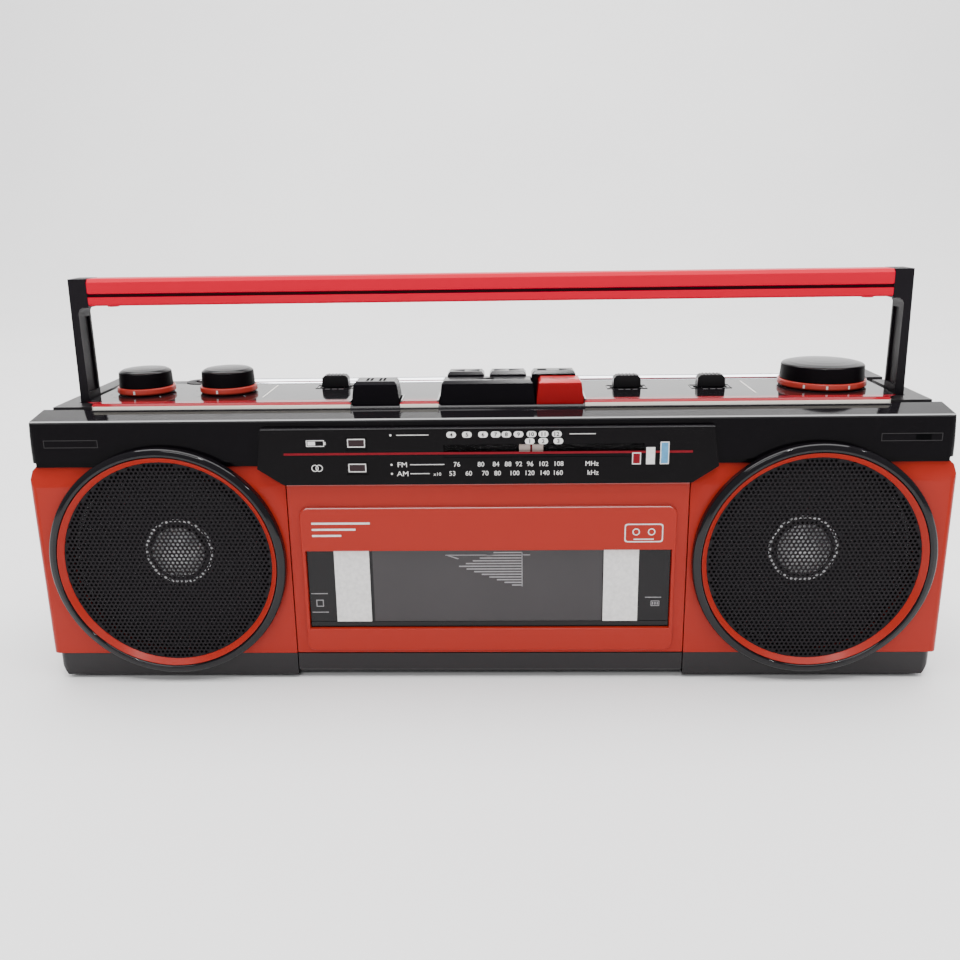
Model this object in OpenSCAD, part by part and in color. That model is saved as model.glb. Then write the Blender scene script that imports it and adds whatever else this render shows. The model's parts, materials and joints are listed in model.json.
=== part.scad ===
// Portable stereo radio cassette recorder with a fold-down carrying handle.
// Millimetres. X runs to the right, Y to the rear, Z up. The origin is the centre of the base on the table.

/* [Body] */
// Width over the crease of the red front panel
body_w = 313; // [307:1:320]
// Depth of the casing, front face to rear face
body_d = 76; // [74:1:84]
// Height of the rear deck above the table
deck_z = 96.9; // [96:0.1:98]
// Wall thickness of the mouldings
wall = 2.2; // [1.8:0.1:2.4]
// Height of the rubber feet
foot_h = 1.5; // [1:0.1:2]

/* [Speakers] */
// Distance of each speaker's centre from the middle
speaker_x = 110.5; // [110:0.5:112]
// Height of each speaker's centre
speaker_z = 44.7; // [44.2:0.1:46]
// Outer radius of the trim ring
ring_r = 41; // [40.5:0.1:41.4]
// How far the trim ring stands out of the front face
ring_h = 4; // [3:0.1:5]

/* [Cassette door] */
// Half width of the door
door_hw = 68; // [66:0.5:68.5]
// Height of the door's top edge
door_top = 72; // [71.5:0.1:72]
// Distance between the two tape hubs
hub_pitch = 42.5; // [42:0.1:43]
// Height of the tape hubs
hub_z = 36.1; // [35:0.1:37]

/* [Handle] */
// Outer half width over the arms at their pivots
handle_hw = 144.2; // [143.8:0.1:144.6]
// Height of the handle's top
handle_top = 139.8; // [136:0.1:140]
// Thickness of one arm, seen from the front
arm_w = 3.2; // [2.8:0.1:3.6]
// Depth of the grip and the arms
arm_d = 10; // [9:0.5:10]

/* [Controls] */
// Radius of the tuning knob
tuning_r = 15.4; // [14:0.1:16]
// Radius of the two small knobs
small_r = 10.3; // [9:0.1:11]
// Height of the key tops above the control panel
key_rise = 6.9; // [6:0.1:8]
// How far a key travels
key_travel = 4.5; // [3:0.5:4.5]

/* [Hidden] */
$fn = 48;
hw = body_w / 2;
front_y = -36;
rear_y = front_y + body_d;
split_y = -23.2;
base_top = 9.7;
crease_z = 71.6;
red_top = 78.4;
band_bottom = 80.1;
band_front_z = 94.5;
strip_rear_z = deck_z - 0.5;
parting_groove = 0.8;
band_top_hw = hw - 3.1;
band_hw = hw - 1.6;
lower_hw = hw - 2.2;
upper_hw = hw - 6;
baffle_y = -33.6;
lip_front = 39.6;
grille_r = 36.05;
grille_front = 37.75;
grille_t = 0.7;
cap_seat = 25.5;
eps = 0.1;
gap = 0.3;
run = 0.07;

panel_z = deck_z + 1.2;
panel_hw = 139.8;
panel_front = -23.6;
panel_rear = 14.2;
trim_hw = 136;
trim_front = -26;
trim_top = deck_z + 0.5;

key_front = -24.5;
front_key_d = 9.1;
rear_key_y = -15;
rear_key_d = 7;
key_foot = 93;
key_gap = 0.35;

small_knob_x = [-124.9, -94.6];
small_knob_y = -2;
tuning_x = 120.3;
tuning_y = -0.2;
knob_lift = 0.3;
ring_top = panel_z + 2.6;
knob_rim = panel_z + 8.2;
shaft_r = 3;
pot_top = 91;

switch_x = [-56.4, 50.2, 80.2];
switch_y = [4.9, -1.2, -1.8];
switch_w = 10;
switch_d = 5;
switch_h = 4.6;
switch_travel = 2.5;

pivot_y = -10;
pivot_z = 91.5;
pin_r = 3;
channel_z = 85.2;
channel_in = handle_hw - arm_w - 0.4;
channel_out = handle_hw + 0.4;
channel_front = pivot_y - arm_d / 2 - 0.5;
notch_y = 27.6;
grip_h = 9.2;
grip_hw = 137.2;
grip_low = handle_top - grip_h;
groove_z = handle_top - 6;

antenna_y = 18.5;
antenna_x = -111;
swivel_r = 5.7;
tube_r = 2.3;
tube_end = 129;
tip_end = 137;

hinge_y = -33.5;
hinge_z = 4;
door_back = -33.2;
frame_y = -37.2;
recess_y = -35.5;
recess_hw = 62.8;
recess_z = [19.5, 48.5];
window_x = [-40, 39.5];
cassette_hw = 50.6;
cassette_back = -19.4;
cassette_floor = 7.3;
sill_back = -30.3;
rail_top = 58;

plate_y = -17.5;
plate_t = 1.4;
spindle_tip = -28;
capstan_x = -33;
capstan_z = 61;
flywheel_r = 19;
belt_y = -11;
motor_x = 46;
motor_z = 62;
pulley_r = 4;
head_lift = 9;

board_z = 77;
board_t = 1.6;

bay_hw = 77;
bay_y = 11;
bay_z = [8, 65];

bezel_y = -38.2;
bezel_top = 92;
dial_slot_x = [-14, 52];
dial_slot_z = [82, 86];
needle_x = 14.9;
led_x = -43.1;
led_z = [78.2, 86.7];

jack_x = 110;
jack_z = 26;
jack_r = 1.8;
inlet_x = 124;
screw_spots = [[-141, 14], [-141, 72], [-92, 14], [92, 72], [141, 14], [141, 72]];

// Box between two corners
module block(low, high) {
    translate(low) cube(high - low);
}

// Its children and their mirror image on the other side
module both_sides() {
    children();
    mirror([1, 0, 0]) children();
}

// Outline drawn in X and Z, given thickness along Y
module along_y(from, to) {
    translate([0, to, 0]) rotate([90, 0, 0]) linear_extrude(to - from) children();
}

// Outline drawn in Y and Z, given length along X
module along_x(from, to) {
    translate([from, 0, 0]) rotate([90, 0, 90]) linear_extrude(to - from) children();
}

// Rectangle between two corners with round corners
module round_rect(low, high, r) {
    translate([low.x + r, low.y]) square([high.x - low.x - 2 * r, high.y - low.y]);
    translate([low.x, low.y + r]) square([high.x - low.x, high.y - low.y - 2 * r]);
    for (x = [low.x + r, high.x - r], y = [low.y + r, high.y - r]) translate([x, y]) circle(r);
}

// Outline in radius and distance in front of the axis plane, turned about an axis along Y
module turned(x, z) {
    translate([x, 0, z]) rotate([90, 0, 0]) rotate_extrude() children();
}

// Cylinder along Y
module rod_y(x, z, r, from, to) {
    translate([x, to, z]) rotate([90, 0, 0]) cylinder(h = to - from, r = r);
}

// Cylinder along X
module rod_x(y, z, r, from, to) {
    translate([from, y, z]) rotate([0, 90, 0]) cylinder(h = to - from, r = r);
}

// Cylinder along Z
module rod_z(x, y, r, from, to) {
    translate([x, y, from]) cylinder(h = to - from, r = r);
}

// Height of the sloping top strip at a given depth
function strip_z(y) =
    band_front_z + (y - front_y - 1) * (strip_rear_z - band_front_z) / (split_y - front_y - 1);

// ---------- Casing ----------

// Space that the key skirts pass through, across the parting line of the casing
module key_clearance() {
    left = key_span("pause_key")[0];
    right = key_span("record_key")[1];
    block([left - 1.4, key_front - 0.5, 90], [right + 1.4, rear_key_y + rear_key_d + 1, 100]);
}

module band_outline() {
    edge = split_y - parting_groove;
    polygon([[front_y, band_bottom], [front_y, band_front_z - 0.8], [front_y + 1, band_front_z],
             [edge, strip_z(edge)], [edge, strip_z(edge) - 0.7], [split_y, strip_z(edge) - 0.7],
             [split_y, band_bottom]]);
}

// Front view of the black band, a little wider at its lower edge
module band_front() {
    polygon([[-band_hw, band_bottom], [-band_top_hw, band_front_z], [-band_top_hw, deck_z],
             [band_top_hw, deck_z], [band_top_hw, band_front_z], [band_hw, band_bottom]]);
}

module base_outline() {
    half = hw - 1.9;
    polygon([[-half + 2.6, foot_h], [-half, foot_h + 4], [-half, base_top], [half, base_top],
             [half, foot_h + 4], [half - 2.6, foot_h]]);
}

module front_cabinet_solid() {
    intersection() {
        along_x(-band_hw, band_hw) band_outline();
        along_y(front_y, split_y) band_front();
        linear_extrude(200) round_rect([-band_hw, front_y], [band_hw, split_y + 10], 3);
    }
    block([-hw + 3.2, front_y + 1, red_top], [hw - 3.2, split_y, band_bottom]);
    block([-lower_hw - 0.1 + gap, baffle_y, base_top], [lower_hw + 0.1 - gap, split_y, red_top]);
    intersection() {
        along_y(front_y, split_y) base_outline();
        linear_extrude(30) round_rect([-hw + 1.9, front_y], [hw - 1.9, split_y + 10], 3);
    }
}

module front_cabinet() {
    inner = hw - 5.6;
    front_in = front_y + wall;
    color("#17161a") difference() {
        union() {
            difference() {
                front_cabinet_solid();
                along_x(-inner, inner) polygon([
                    [baffle_y + wall, foot_h + wall], [baffle_y + wall, red_top - 0.5],
                    [front_in, band_bottom + 1], [front_in, band_front_z - wall],
                    [split_y + eps, strip_rear_z - wall], [split_y + eps, foot_h + wall]]);
            }
            both_sides() {
                block([door_hw + 0.4, baffle_y + 1, foot_h + 1], [door_hw + 2, split_y, red_top]);
                block([door_hw + 0.4, front_y + 2, foot_h + 0.5], [door_hw + 4, -29, 8]);
            }
        }
        block([-door_hw - gap, front_y - 1, 0], [door_hw + gap, -27, door_top + gap]);
        both_sides() {
            rod_x(hinge_y, hinge_z, 1.5 + run, door_hw, door_hw + 3.4);
            rod_y(speaker_x, speaker_z, ring_r - 7, -40, -20);
            rod_y(speaker_x, speaker_z, ring_r - 2.9, -40, baffle_y);
        }
        key_clearance();
    }
}

// Red moulding over the lower front, with a creased top edge and dished speaker openings
module front_panel() {
    color("#ba4837") difference() {
        union() {
            difference() {
                intersection() {
                    along_y(front_y, split_y - 0.2) polygon([
                        [-hw, base_top + 0.1], [-hw, crease_z], [-hw + 1.3, red_top - 1.2],
                        [-hw + 2.5, red_top], [hw - 2.5, red_top], [hw - 1.3, red_top - 1.2],
                        [hw, crease_z], [hw, base_top + 0.1]]);
                    along_x(-hw, hw) polygon([
                        [front_y, base_top], [front_y, crease_z], [front_y + 2, red_top],
                        [split_y, red_top], [split_y, base_top]]);
                    linear_extrude(100) round_rect([-hw, front_y], [hw, split_y + 10], 2.5);
                }
                block([-lower_hw, baffle_y - 0.1, 0], [lower_hw, 0, 100]);
            }
            both_sides() rod_y(speaker_x, speaker_z, ring_r - 3.1, -lip_front, baffle_y - 0.1);
        }
        block([-door_hw - gap, front_y - 1, 0], [door_hw + gap, 0, door_top + gap]);
        both_sides() turned(speaker_x, speaker_z) polygon([
            [0, 30], [grille_r - 1.5, 30], [grille_r - 1.5, grille_front - grille_t - gap],
            [grille_r + 0.05, grille_front - grille_t - gap], [grille_r + 0.05, grille_front + 0.1],
            [ring_r - 3.3, lip_front], [ring_r - 3.3, lip_front + 1], [0, lip_front + 1]]);
    }
}

module rear_profile(inset) {
    base = foot_h + inset;
    top = deck_z - inset;
    points = [[lower_hw - 2.3 - inset, base], [lower_hw - inset, base + 4], [lower_hw - inset, crease_z],
              [upper_hw - inset, crease_z + 7], [upper_hw - inset, top]];
    polygon(concat(points, [for (i = [len(points) - 1 : -1 : 0]) [-points[i].x, points[i].y]]));
}

module rear_cabinet_walls() {
    difference() {
        intersection() {
            along_y(split_y, rear_y) rear_profile(0);
            linear_extrude(200) round_rect([-lower_hw, split_y - 10], [lower_hw, rear_y], 4);
        }
        along_y(split_y - 1, rear_y - wall) rear_profile(wall);
    }
}

// Solid regions inside the shell that carry the handle, the batteries, the aerial and the screws
module rear_cabinet_blocks() {
    both_sides() block([channel_in - 2, channel_front - 2, channel_z - 2], [upper_hw - 0.5, rear_y - 1, deck_z - 1]);
    block([-upper_hw + 0.5, notch_y - 2, channel_z - 2], [upper_hw - 0.5, rear_y - 1, deck_z - 1]);
    block([-bay_hw - 2, bay_y - 2, bay_z[0] - 2], [bay_hw + 2, rear_y - 1, bay_z[1] + 2]);
    block([-bay_hw - 6, rear_y - 4, bay_z[0] - 4], [bay_hw + 6, rear_y - 1, bay_z[1] + 4]);
    block([antenna_x - 8, antenna_y - 3.6, deck_z - 6], [channel_in, antenna_y + 3.6, deck_z - 1]);
    rod_z(antenna_x, antenna_y, 8, deck_z - 9, deck_z - 1);
    for (spot = screw_spots) rod_y(spot[0], spot[1], 5, rear_y - 14, rear_y - 1);
}

module rear_cabinet() {
    color("#1b1a1d") difference() {
        union() {
            rear_cabinet_walls();
            rear_cabinet_blocks();
        }
        block([-134, -21, deck_z - 4], [134, 12, deck_z + 1]);
        key_clearance();
        both_sides() {
            block([channel_in, channel_front, channel_z], [channel_out, rear_y + 1, deck_z + 1]);
            rod_x(pivot_y, pivot_z, pin_r + run, channel_in - 3, channel_out + 1);
        }
        block([-channel_out, notch_y, channel_z], [channel_out, rear_y + 1, deck_z + 1]);
        block([-bay_hw, bay_y, bay_z[0]], [bay_hw, rear_y + 1, bay_z[1]]);
        block([-bay_hw - 4, rear_y - 1.9, bay_z[0] - 2], [bay_hw + 4, rear_y + 1, bay_z[1] + 2]);
        rod_x(antenna_y, deck_z, tube_r + 0.5, antenna_x, hw);
        rod_z(antenna_x, antenna_y, swivel_r + gap, deck_z - 7, deck_z + 1);
        block([inlet_x - 22, rear_y - 3, 14], [inlet_x + 9, rear_y + 1, 40]);
        for (spot = screw_spots) {
            rod_y(spot[0], spot[1], 3.6, rear_y - 4, rear_y + 1);
            rod_y(spot[0], spot[1], 1.6, rear_y - 12, rear_y - 3);
        }
    }
}

module battery_cover() {
    color("#1b1a1d") difference() {
        union() {
            block([-bay_hw - 3.6, rear_y - 1.7, bay_z[0] - 1.6], [bay_hw + 3.6, rear_y, bay_z[1] + 1.6]);
            for (x = [-50, 50]) block([x - 6, rear_y - 6, bay_z[0] + 0.5], [x + 6, rear_y - 1.7, bay_z[0] + 2]);
        }
        for (z = [bay_z[1] - 12 : 3 : bay_z[1] - 3]) {
            block([-14, rear_y - 0.6, z], [14, rear_y + 1, z + 1.2]);
        }
    }
}

// Spring plates at both ends of the battery bay
module battery_contacts() {
    color("silver") both_sides() for (z = [22.5, 50.5]) {
        block([bay_hw - 0.8, bay_y + 5, z - 8], [bay_hw, bay_y + 23, z + 8]);
        rod_x(bay_y + 14, z, 4, bay_hw - 3.4, bay_hw - 0.8);
    }
}

module jack_plate() {
    color("#232226") difference() {
        block([inlet_x - 21.7, rear_y - 2.7, 14.3], [inlet_x + 8.7, rear_y - 0.4, 39.7]);
        rod_y(jack_x, jack_z, jack_r, rear_y - 4, rear_y);
        block([inlet_x - 4.5, rear_y - 4, 22], [inlet_x + 4.5, rear_y, 30]);
    }
    color("#232226") difference() {
        union() {
            rod_y(jack_x, jack_z, 4, rear_y - 16, rear_y - 2.7);
            block([inlet_x - 6.2, rear_y - 16, 20.3], [inlet_x + 6.2, rear_y - 2.7, 31.7]);
        }
        rod_y(jack_x, jack_z, jack_r, rear_y - 14.4, rear_y);
        block([inlet_x - 4.5, rear_y - 13, 22], [inlet_x + 4.5, rear_y, 30]);
    }
    color("silver") for (x = [-2.2, 2.2]) rod_y(inlet_x + x, 26, 0.8, rear_y - 13, rear_y - 5);
}

module feet() {
    color("#0c0c0d") for (x = [-128, 128], y = [-27, rear_y - 9]) rod_z(x, y, 6, 0, foot_h);
}

module case_screws() {
    color("silver") for (spot = screw_spots) difference() {
        union() {
            rod_y(spot[0], spot[1], 3.2, rear_y - 4, rear_y - 2.2);
            rod_y(spot[0], spot[1], 1.5, rear_y - 11.5, rear_y - 4);
        }
        for (turn = [0, 90]) translate([spot[0], rear_y - 2.6, spot[1]]) rotate([0, turn, 0])
            block([-2, 0, -0.4], [2, 2, 0.4]);
    }
}

// ---------- Control panel ----------

function key_span(name) =
    name == "pause_key" ? [-46, -29.8] :
    name == "play_key" ? [-15.9, 16.5] :
    name == "record_key" ? [17.1, 33] :
    name == "rewind_key" ? [-14.4, -0.3] :
    name == "forward_key" ? [0.3, 14.4] :
    [15, 31.5];

// Openings for the keys, down from the given front edge and height
module key_wells(front, floor) {
    for (span = [key_span("pause_key"), [key_span("play_key")[0], key_span("record_key")[1]]]) {
        rear = span[0] < -20 ? key_front + front_key_d : rear_key_y + rear_key_d;
        block([span[0] - key_gap, front, floor], [span[1] + key_gap, rear + key_gap, 110]);
    }
}

module control_panel() {
    color("#1d1c1f") difference() {
        translate([0, 0, deck_z]) linear_extrude(panel_z - deck_z) polygon([
            [-trim_hw, panel_front], [trim_hw, panel_front], [panel_hw, panel_front + 6],
            [panel_hw, panel_rear], [-panel_hw, panel_rear], [-panel_hw, panel_front + 6]]);
        key_wells(key_front - key_gap, 90);
        for (x = small_knob_x) rod_z(x, small_knob_y, shaft_r + 0.4, 90, 110);
        rod_z(tuning_x, tuning_y, shaft_r + 0.4, 90, 110);
        rod_z(antenna_x, antenna_y, swivel_r + gap, 90, 110);
        for (i = [0 : 2]) {
            reach = switch_w / 2 - 2 + switch_travel + 0.5;
            block([switch_x[i] - reach, switch_y[i] - 1.4, 90], [switch_x[i] + reach, switch_y[i] + 1.4, 110]);
        }
    }
}

// Bright bevelled strip along the front edge of the control panel
module panel_trim() {
    color("#dccfc4") difference() {
        along_x(-trim_hw, trim_hw) polygon([
            [trim_front, strip_z(trim_front) + 0.15], [trim_front, trim_top],
            [panel_front - 0.1, panel_z],
            [panel_front - 0.1, strip_z(panel_front) + 0.15]]);
        key_wells(key_front - key_gap, 90);
        key_wells(trim_front - 1, deck_z - 0.3);
        both_sides() translate([trim_hw, trim_front + 1, 90]) rotate(-40) block([0, -10, 0], [10, 10, 20]);
    }
}

// ---------- Dial ----------

module bezel_outline() {
    polygon([[-75, bezel_top], [75, bezel_top], [77, 78.1], [68.3, door_top + 0.4],
             [-68.3, door_top + 0.4], [-77, 78.1]]);
}

module led_holes(slack, from, to) {
    for (z = led_z) block([led_x - 3.3 - slack, from, z - 1.8 - slack], [led_x + 3.3 + slack, to, z + 1.8 + slack]);
}

module dial_bezel() {
    color("#121114") difference() {
        along_y(bezel_y, front_y - eps) bezel_outline();
        block([dial_slot_x[0], bezel_y - 1, dial_slot_z[0]], [dial_slot_x[1], 0, dial_slot_z[1]]);
        led_holes(0.1, bezel_y - 1, 0);
        block([dial_slot_x[0] - 2, -37, dial_slot_z[0] - 1.2], [dial_slot_x[1] + 2, 0, dial_slot_z[1] + 1.2]);
    }
}

module dial_window() {
    color("#3a3a3e") block([dial_slot_x[0] + 0.1, bezel_y + 0.2, dial_slot_z[0] + 0.1],
                           [dial_slot_x[1] - 0.1, bezel_y + 0.9, dial_slot_z[1] - 0.1]);
}

module dial_needle() {
    color("#f0e6dc") block([needle_x - 4, -36.8, dial_slot_z[0] + 0.4], [needle_x + 4, -36.35, dial_slot_z[1] - 0.3]);
}

module indicator_lenses() {
    color("#4a3a3c") led_holes(0, bezel_y + 0.1, front_y - 0.1);
}

// ---------- Speakers ----------

module speaker_ring(x) {
    mid = ring_r - 1.5;
    color("#111013") turned(x, speaker_z) {
        translate([mid, ring_h - front_y - 1.5]) circle(1.5);
        translate([mid - 1.5, 0.05 - front_y]) square([3, ring_h - 1.55]);
    }
}

module speaker_grille(x) {
    color("#2a2a2c") rod_y(x, speaker_z, grille_r, -grille_front, grille_t - grille_front);
}

// Pressed basket with its magnet
module speaker_frame(x) {
    color("#8b8d90") turned(x, speaker_z) polygon([
        [33.6, 31.3], [37.5, 31.3], [37.5, 30.1], [35, 30.1], [24, 15], [24, 1.5], [0, 1.5],
        [0, 13], [20.5, 13], [33.6, 30.4]]);
}

module speaker_cone(x) {
    color("#26262a") turned(x, speaker_z) polygon([
        [0, cap_seat - 0.1], [12.4, cap_seat - 0.1], [33.2, 31.2], [33.2, 30.4], [12.6, cap_seat - 1],
        [9, cap_seat - 3], [9, 13.2], [8.2, 13.2], [8.2, cap_seat - 1], [0, cap_seat - 1]]);
}

module dust_cap(x) {
    color("silver") turned(x, speaker_z) {
        intersection() {
            translate([0, cap_seat - 6]) circle(12);
            translate([0, cap_seat]) square([9.5, 8]);
        }
        translate([0, cap_seat]) square([12.2, 0.7]);
    }
}

// ---------- Knobs, keys and switches ----------

module knob_cap(x, y, r) {
    color("#141316") union() {
        translate([x, y, 0]) rotate_extrude() polygon([
            [0, ring_top + 0.05], [r - 0.3, ring_top + 0.05], [r - 0.8, knob_rim - 0.6],
            [r - 1.8, knob_rim + 0.3], [r * 0.5, knob_rim + 0.8], [0, knob_rim + 1]]);
        rod_z(x, y, shaft_r, pot_top + 0.3, ring_top + 1);
    }
}

module knob_ring(x, y, r) {
    color("#c04a38") difference() {
        translate([x, y, 0]) rotate_extrude() polygon([
            [0, panel_z + knob_lift], [r - 0.5, panel_z + knob_lift], [r, panel_z + 0.7], [r - 0.1, ring_top], [0, ring_top]]);
        rod_z(x, y, shaft_r + 0.02, 80, 120);
    }
}

// Piano key: tapered cap with bevelled top edges, a skirt and a drive blade
module key(name, front, depth, rise) {
    span = key_span(name);
    top = panel_z + rise;
    mid = (span[0] + span[1]) / 2;
    half = (span[1] - span[0]) / 2;
    union() {
        intersection() {
            along_y(front, front + depth) polygon([
                [mid - half, key_foot], [mid - half, panel_z + 0.5], [mid - half + 0.7, top - 1],
                [mid - half + 1.5, top], [mid + half - 1.5, top], [mid + half - 0.7, top - 1],
                [mid + half, panel_z + 0.5], [mid + half, key_foot]]);
            along_x(span[0], span[1]) polygon([
                [front, key_foot], [front, top - 1.2], [front + 0.8, top], [front + depth - 0.3, top],
                [front + depth, top - 0.8], [front + depth, key_foot]]);
        }
        block([mid - 1, front + 2, key_foot - 3], [mid + 1, front + depth - 2, key_foot + 1]);
    }
}

module front_key(name) {
    key(name, key_front, front_key_d, key_rise);
}

module rear_key(name) {
    key(name, rear_key_y, rear_key_d, key_rise + 1.5);
}

module slide_switch(i) {
    x = switch_x[i];
    y = switch_y[i];
    half = switch_w / 2;
    color("#151417") union() {
        intersection() {
            along_y(y - switch_d / 2, y + switch_d / 2) polygon([
                [x - half, panel_z + 0.3], [x - half + 0.2, panel_z + switch_h - 1],
                [x - half + 1.2, panel_z + switch_h], [x + half - 1.2, panel_z + switch_h],
                [x + half - 0.2, panel_z + switch_h - 1], [x + half, panel_z + 0.3]]);
            along_x(x - half, x + half) polygon([
                [y - switch_d / 2, panel_z], [y - switch_d / 2 + 0.3, panel_z + switch_h],
                [y + switch_d / 2 - 0.3, panel_z + switch_h], [y + switch_d / 2, panel_z]]);
        }
        block([x - half + 2, y - 1, 93], [x + half - 2, y + 1, panel_z + 1]);
    }
}

// ---------- Cassette door ----------

module door_panel() {
    color("#ba4b3a") difference() {
        union() {
            block([-door_hw, front_y, base_top + 0.2], [door_hw, door_back, door_top]);
            along_y(frame_y, front_y + 1) round_rect([-64, 11.3], [64, 64], 3);
        }
        block([-recess_hw, frame_y - 1, recess_z[0]], [recess_hw, recess_y + 1.25, recess_z[1]]);
        block([-recess_hw + 4, -40, recess_z[0] + 3], [recess_hw - 4, -30, recess_z[1] - 3]);
    }
}

// Black lower lip of the door, with the hinge pins
module door_sill() {
    color("#17161a") union() {
        along_x(-door_hw, door_hw) polygon([
            [front_y, base_top], [front_y, foot_h + 2], [front_y + 1.6, foot_h + 0.4],
            [sill_back - 0.2, foot_h + 0.4], [sill_back - 0.2, base_top]]);
        both_sides() rod_x(hinge_y, hinge_z, 1.5, door_hw - 1, door_hw + 3);
    }
}

module door_window() {
    color("#5d5858") along_y(recess_y, recess_y + 1.2)
        round_rect([-recess_hw + 0.2, recess_z[0] + 0.2], [recess_hw - 0.2, recess_z[1] - 0.2], 0.5);
}

// Two bright strips either side of the clear part of the window
module door_strips() {
    color("#e4e2de") {
        block([-53.2, recess_y - 0.5, recess_z[0] + 2.3], [-41, recess_y, recess_z[1] - 0.2]);
        block([39.8, recess_y - 0.5, recess_z[0] + 2.3], [51.8, recess_y, recess_z[1] - 0.2]);
    }
}

// Open-backed pocket that carries the cassette behind the door
module cassette_holder() {
    color("#2c2b2e") {
        block([-cassette_hw - 1, sill_back, cassette_floor - 1.6], [cassette_hw + 1, cassette_back, cassette_floor]);
        both_sides() {
            along_x(cassette_hw, cassette_hw + 2) polygon([
                [sill_back, cassette_floor - 1.6], [cassette_back, cassette_floor - 1.6], [cassette_back, rail_top],
                [door_back + 0.05, rail_top], [door_back + 0.05, base_top + 0.4], [sill_back, base_top + 0.4]]);
            block([cassette_hw - 1.8, cassette_back - 1, 40], [cassette_hw + 1, cassette_back, rail_top]);
        }
    }
}

// ---------- Tape deck ----------

module deck_plate() {
    color("#a9acaf") difference() {
        union() {
            block([-door_hw - 0.3, plate_y, 9], [door_hw + 0.3, plate_y + plate_t, 80]);
            both_sides() block([door_hw - 1.1, -29.5, 14], [door_hw + 0.3, plate_y + plate_t, 76]);
        }
        for (x = [-hub_pitch / 2, hub_pitch / 2]) rod_y(x, hub_z, 1.5 + run, -30, 0);
        rod_y(capstan_x, capstan_z, 1.25 + run, -30, 0);
    }
}

// Splined reel drive with a turntable in front and a friction wheel behind
module spindle(x) {
    color("#e8e6e0") union() {
        rod_y(x, hub_z, 9.5, plate_y - 1.6, plate_y - 0.3);
        rod_y(x, hub_z, 3.3, spindle_tip + 2, plate_y - 1.6);
        turned(x, hub_z) polygon([[0, -spindle_tip], [1, -spindle_tip], [3.3, -spindle_tip - 2], [0, -spindle_tip - 2]]);
        for (turn = [0 : 120 : 240]) translate([x, 0, hub_z]) rotate([0, turn, 0])
            block([-0.6, spindle_tip + 2.5, 2], [0.6, plate_y - 1.6, 4.3]);
        rod_y(x, hub_z, 1.5, plate_y - 1.6, plate_y + plate_t + 2.5);
        rod_y(x, hub_z, 9, plate_y + plate_t + 0.3, plate_y + plate_t + 2.6);
    }
}

module capstan_flywheel() {
    color("#8d8f92") difference() {
        union() {
            rod_y(capstan_x, capstan_z, 1.25, spindle_tip, belt_y);
            rod_y(capstan_x, capstan_z, flywheel_r, belt_y - 2, belt_y + 2);
            rod_y(capstan_x, capstan_z, 5, belt_y + 2, belt_y + 4);
        }
        turned(capstan_x, capstan_z) translate([flywheel_r - 0.8, -belt_y - 0.9]) square([2, 1.8]);
    }
}

module head_bridge() {
    color("#c9cbcd") {
        block([-42, -19.2, 73], [16, plate_y - 0.3, 84.5]);
        rod_y(capstan_x, 77.3, 1, -28.5, -19.2);
    }
    color("#9b9da0") intersection() {
        block([-7, -28, 73.3], [7, -19.2, 84]);
        rod_y(0, 83.5, 10.2, -30, -18);
    }
}

module pinch_roller() {
    color("#151515") difference() {
        rod_y(capstan_x, 77.3, 6, -27.5, -20.5);
        rod_y(capstan_x, 77.3, 1 + run, -30, -18);
    }
}

module motor() {
    color("#b4b6b8") difference() {
        union() {
            rod_y(motor_x, motor_z, 13, belt_y + 3.6, bay_y - 2.4);
            rod_y(motor_x, motor_z, 1, belt_y - 1.9, belt_y + 3.6);
            for (z = [-7, 7]) rod_y(motor_x + 9, motor_z + z, 1.6, plate_y + plate_t, belt_y + 3.6);
        }
        for (turn = [0 : 90 : 270]) translate([motor_x, 0, motor_z]) rotate([0, turn, 0])
            block([8, bay_y - 3.4, -0.5], [11, bay_y, 0.5]);
    }
}

module motor_pulley() {
    color("#c9a94e") difference() {
        rod_y(motor_x, motor_z, pulley_r, belt_y - 1.6, belt_y + 1.6);
        rod_y(motor_x, motor_z, 1 + run, -20, 0);
    }
}

module belt_loop(slack) {
    hull() {
        translate([capstan_x, capstan_z]) circle(flywheel_r + slack);
        translate([motor_x, motor_z]) circle(pulley_r + slack);
    }
}

module drive_belt() {
    color("#0f0f0f") along_y(belt_y - 0.6, belt_y + 0.6) difference() {
        belt_loop(0.9);
        belt_loop(0.15);
    }
}

// ---------- Handle ----------

// Moulded grip with a groove along its front and two rubber-like stops under its ends
module handle_grip() {
    front = pivot_y - arm_d / 2;
    rear = pivot_y + arm_d / 2;
    color("#e03a4c") difference() {
        union() {
            along_x(-grip_hw, grip_hw) polygon([
                [front, grip_low + 0.6], [front, handle_top - 1.2], [front + 1.2, handle_top],
                [rear - 1.2, handle_top], [rear, handle_top - 1.2], [rear, grip_low + 0.6],
                [rear - 0.6, grip_low], [front + 0.6, grip_low]]);
            both_sides() rod_z(grip_hw - 6.8, pivot_y, 2, grip_low - 0.6, grip_low + 1);
        }
        block([-handle_hw, front - 1, groove_z], [handle_hw, front + 0.4, groove_z + 1.1]);
    }
}

// One arm seen from the front: a thin strap that leans in a little, with a block at the grip's end
module arm_outline() {
    inner = handle_hw - arm_w;
    polygon([
        [inner, pivot_z], [inner, grip_low - 2.4], [inner - 0.5, grip_low - 1.2], [inner - 1.5, grip_low - 0.5],
        [grip_hw, grip_low - 0.5], [grip_hw, handle_top], [handle_hw - 0.8, handle_top], [handle_hw, pivot_z]]);
}

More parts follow.
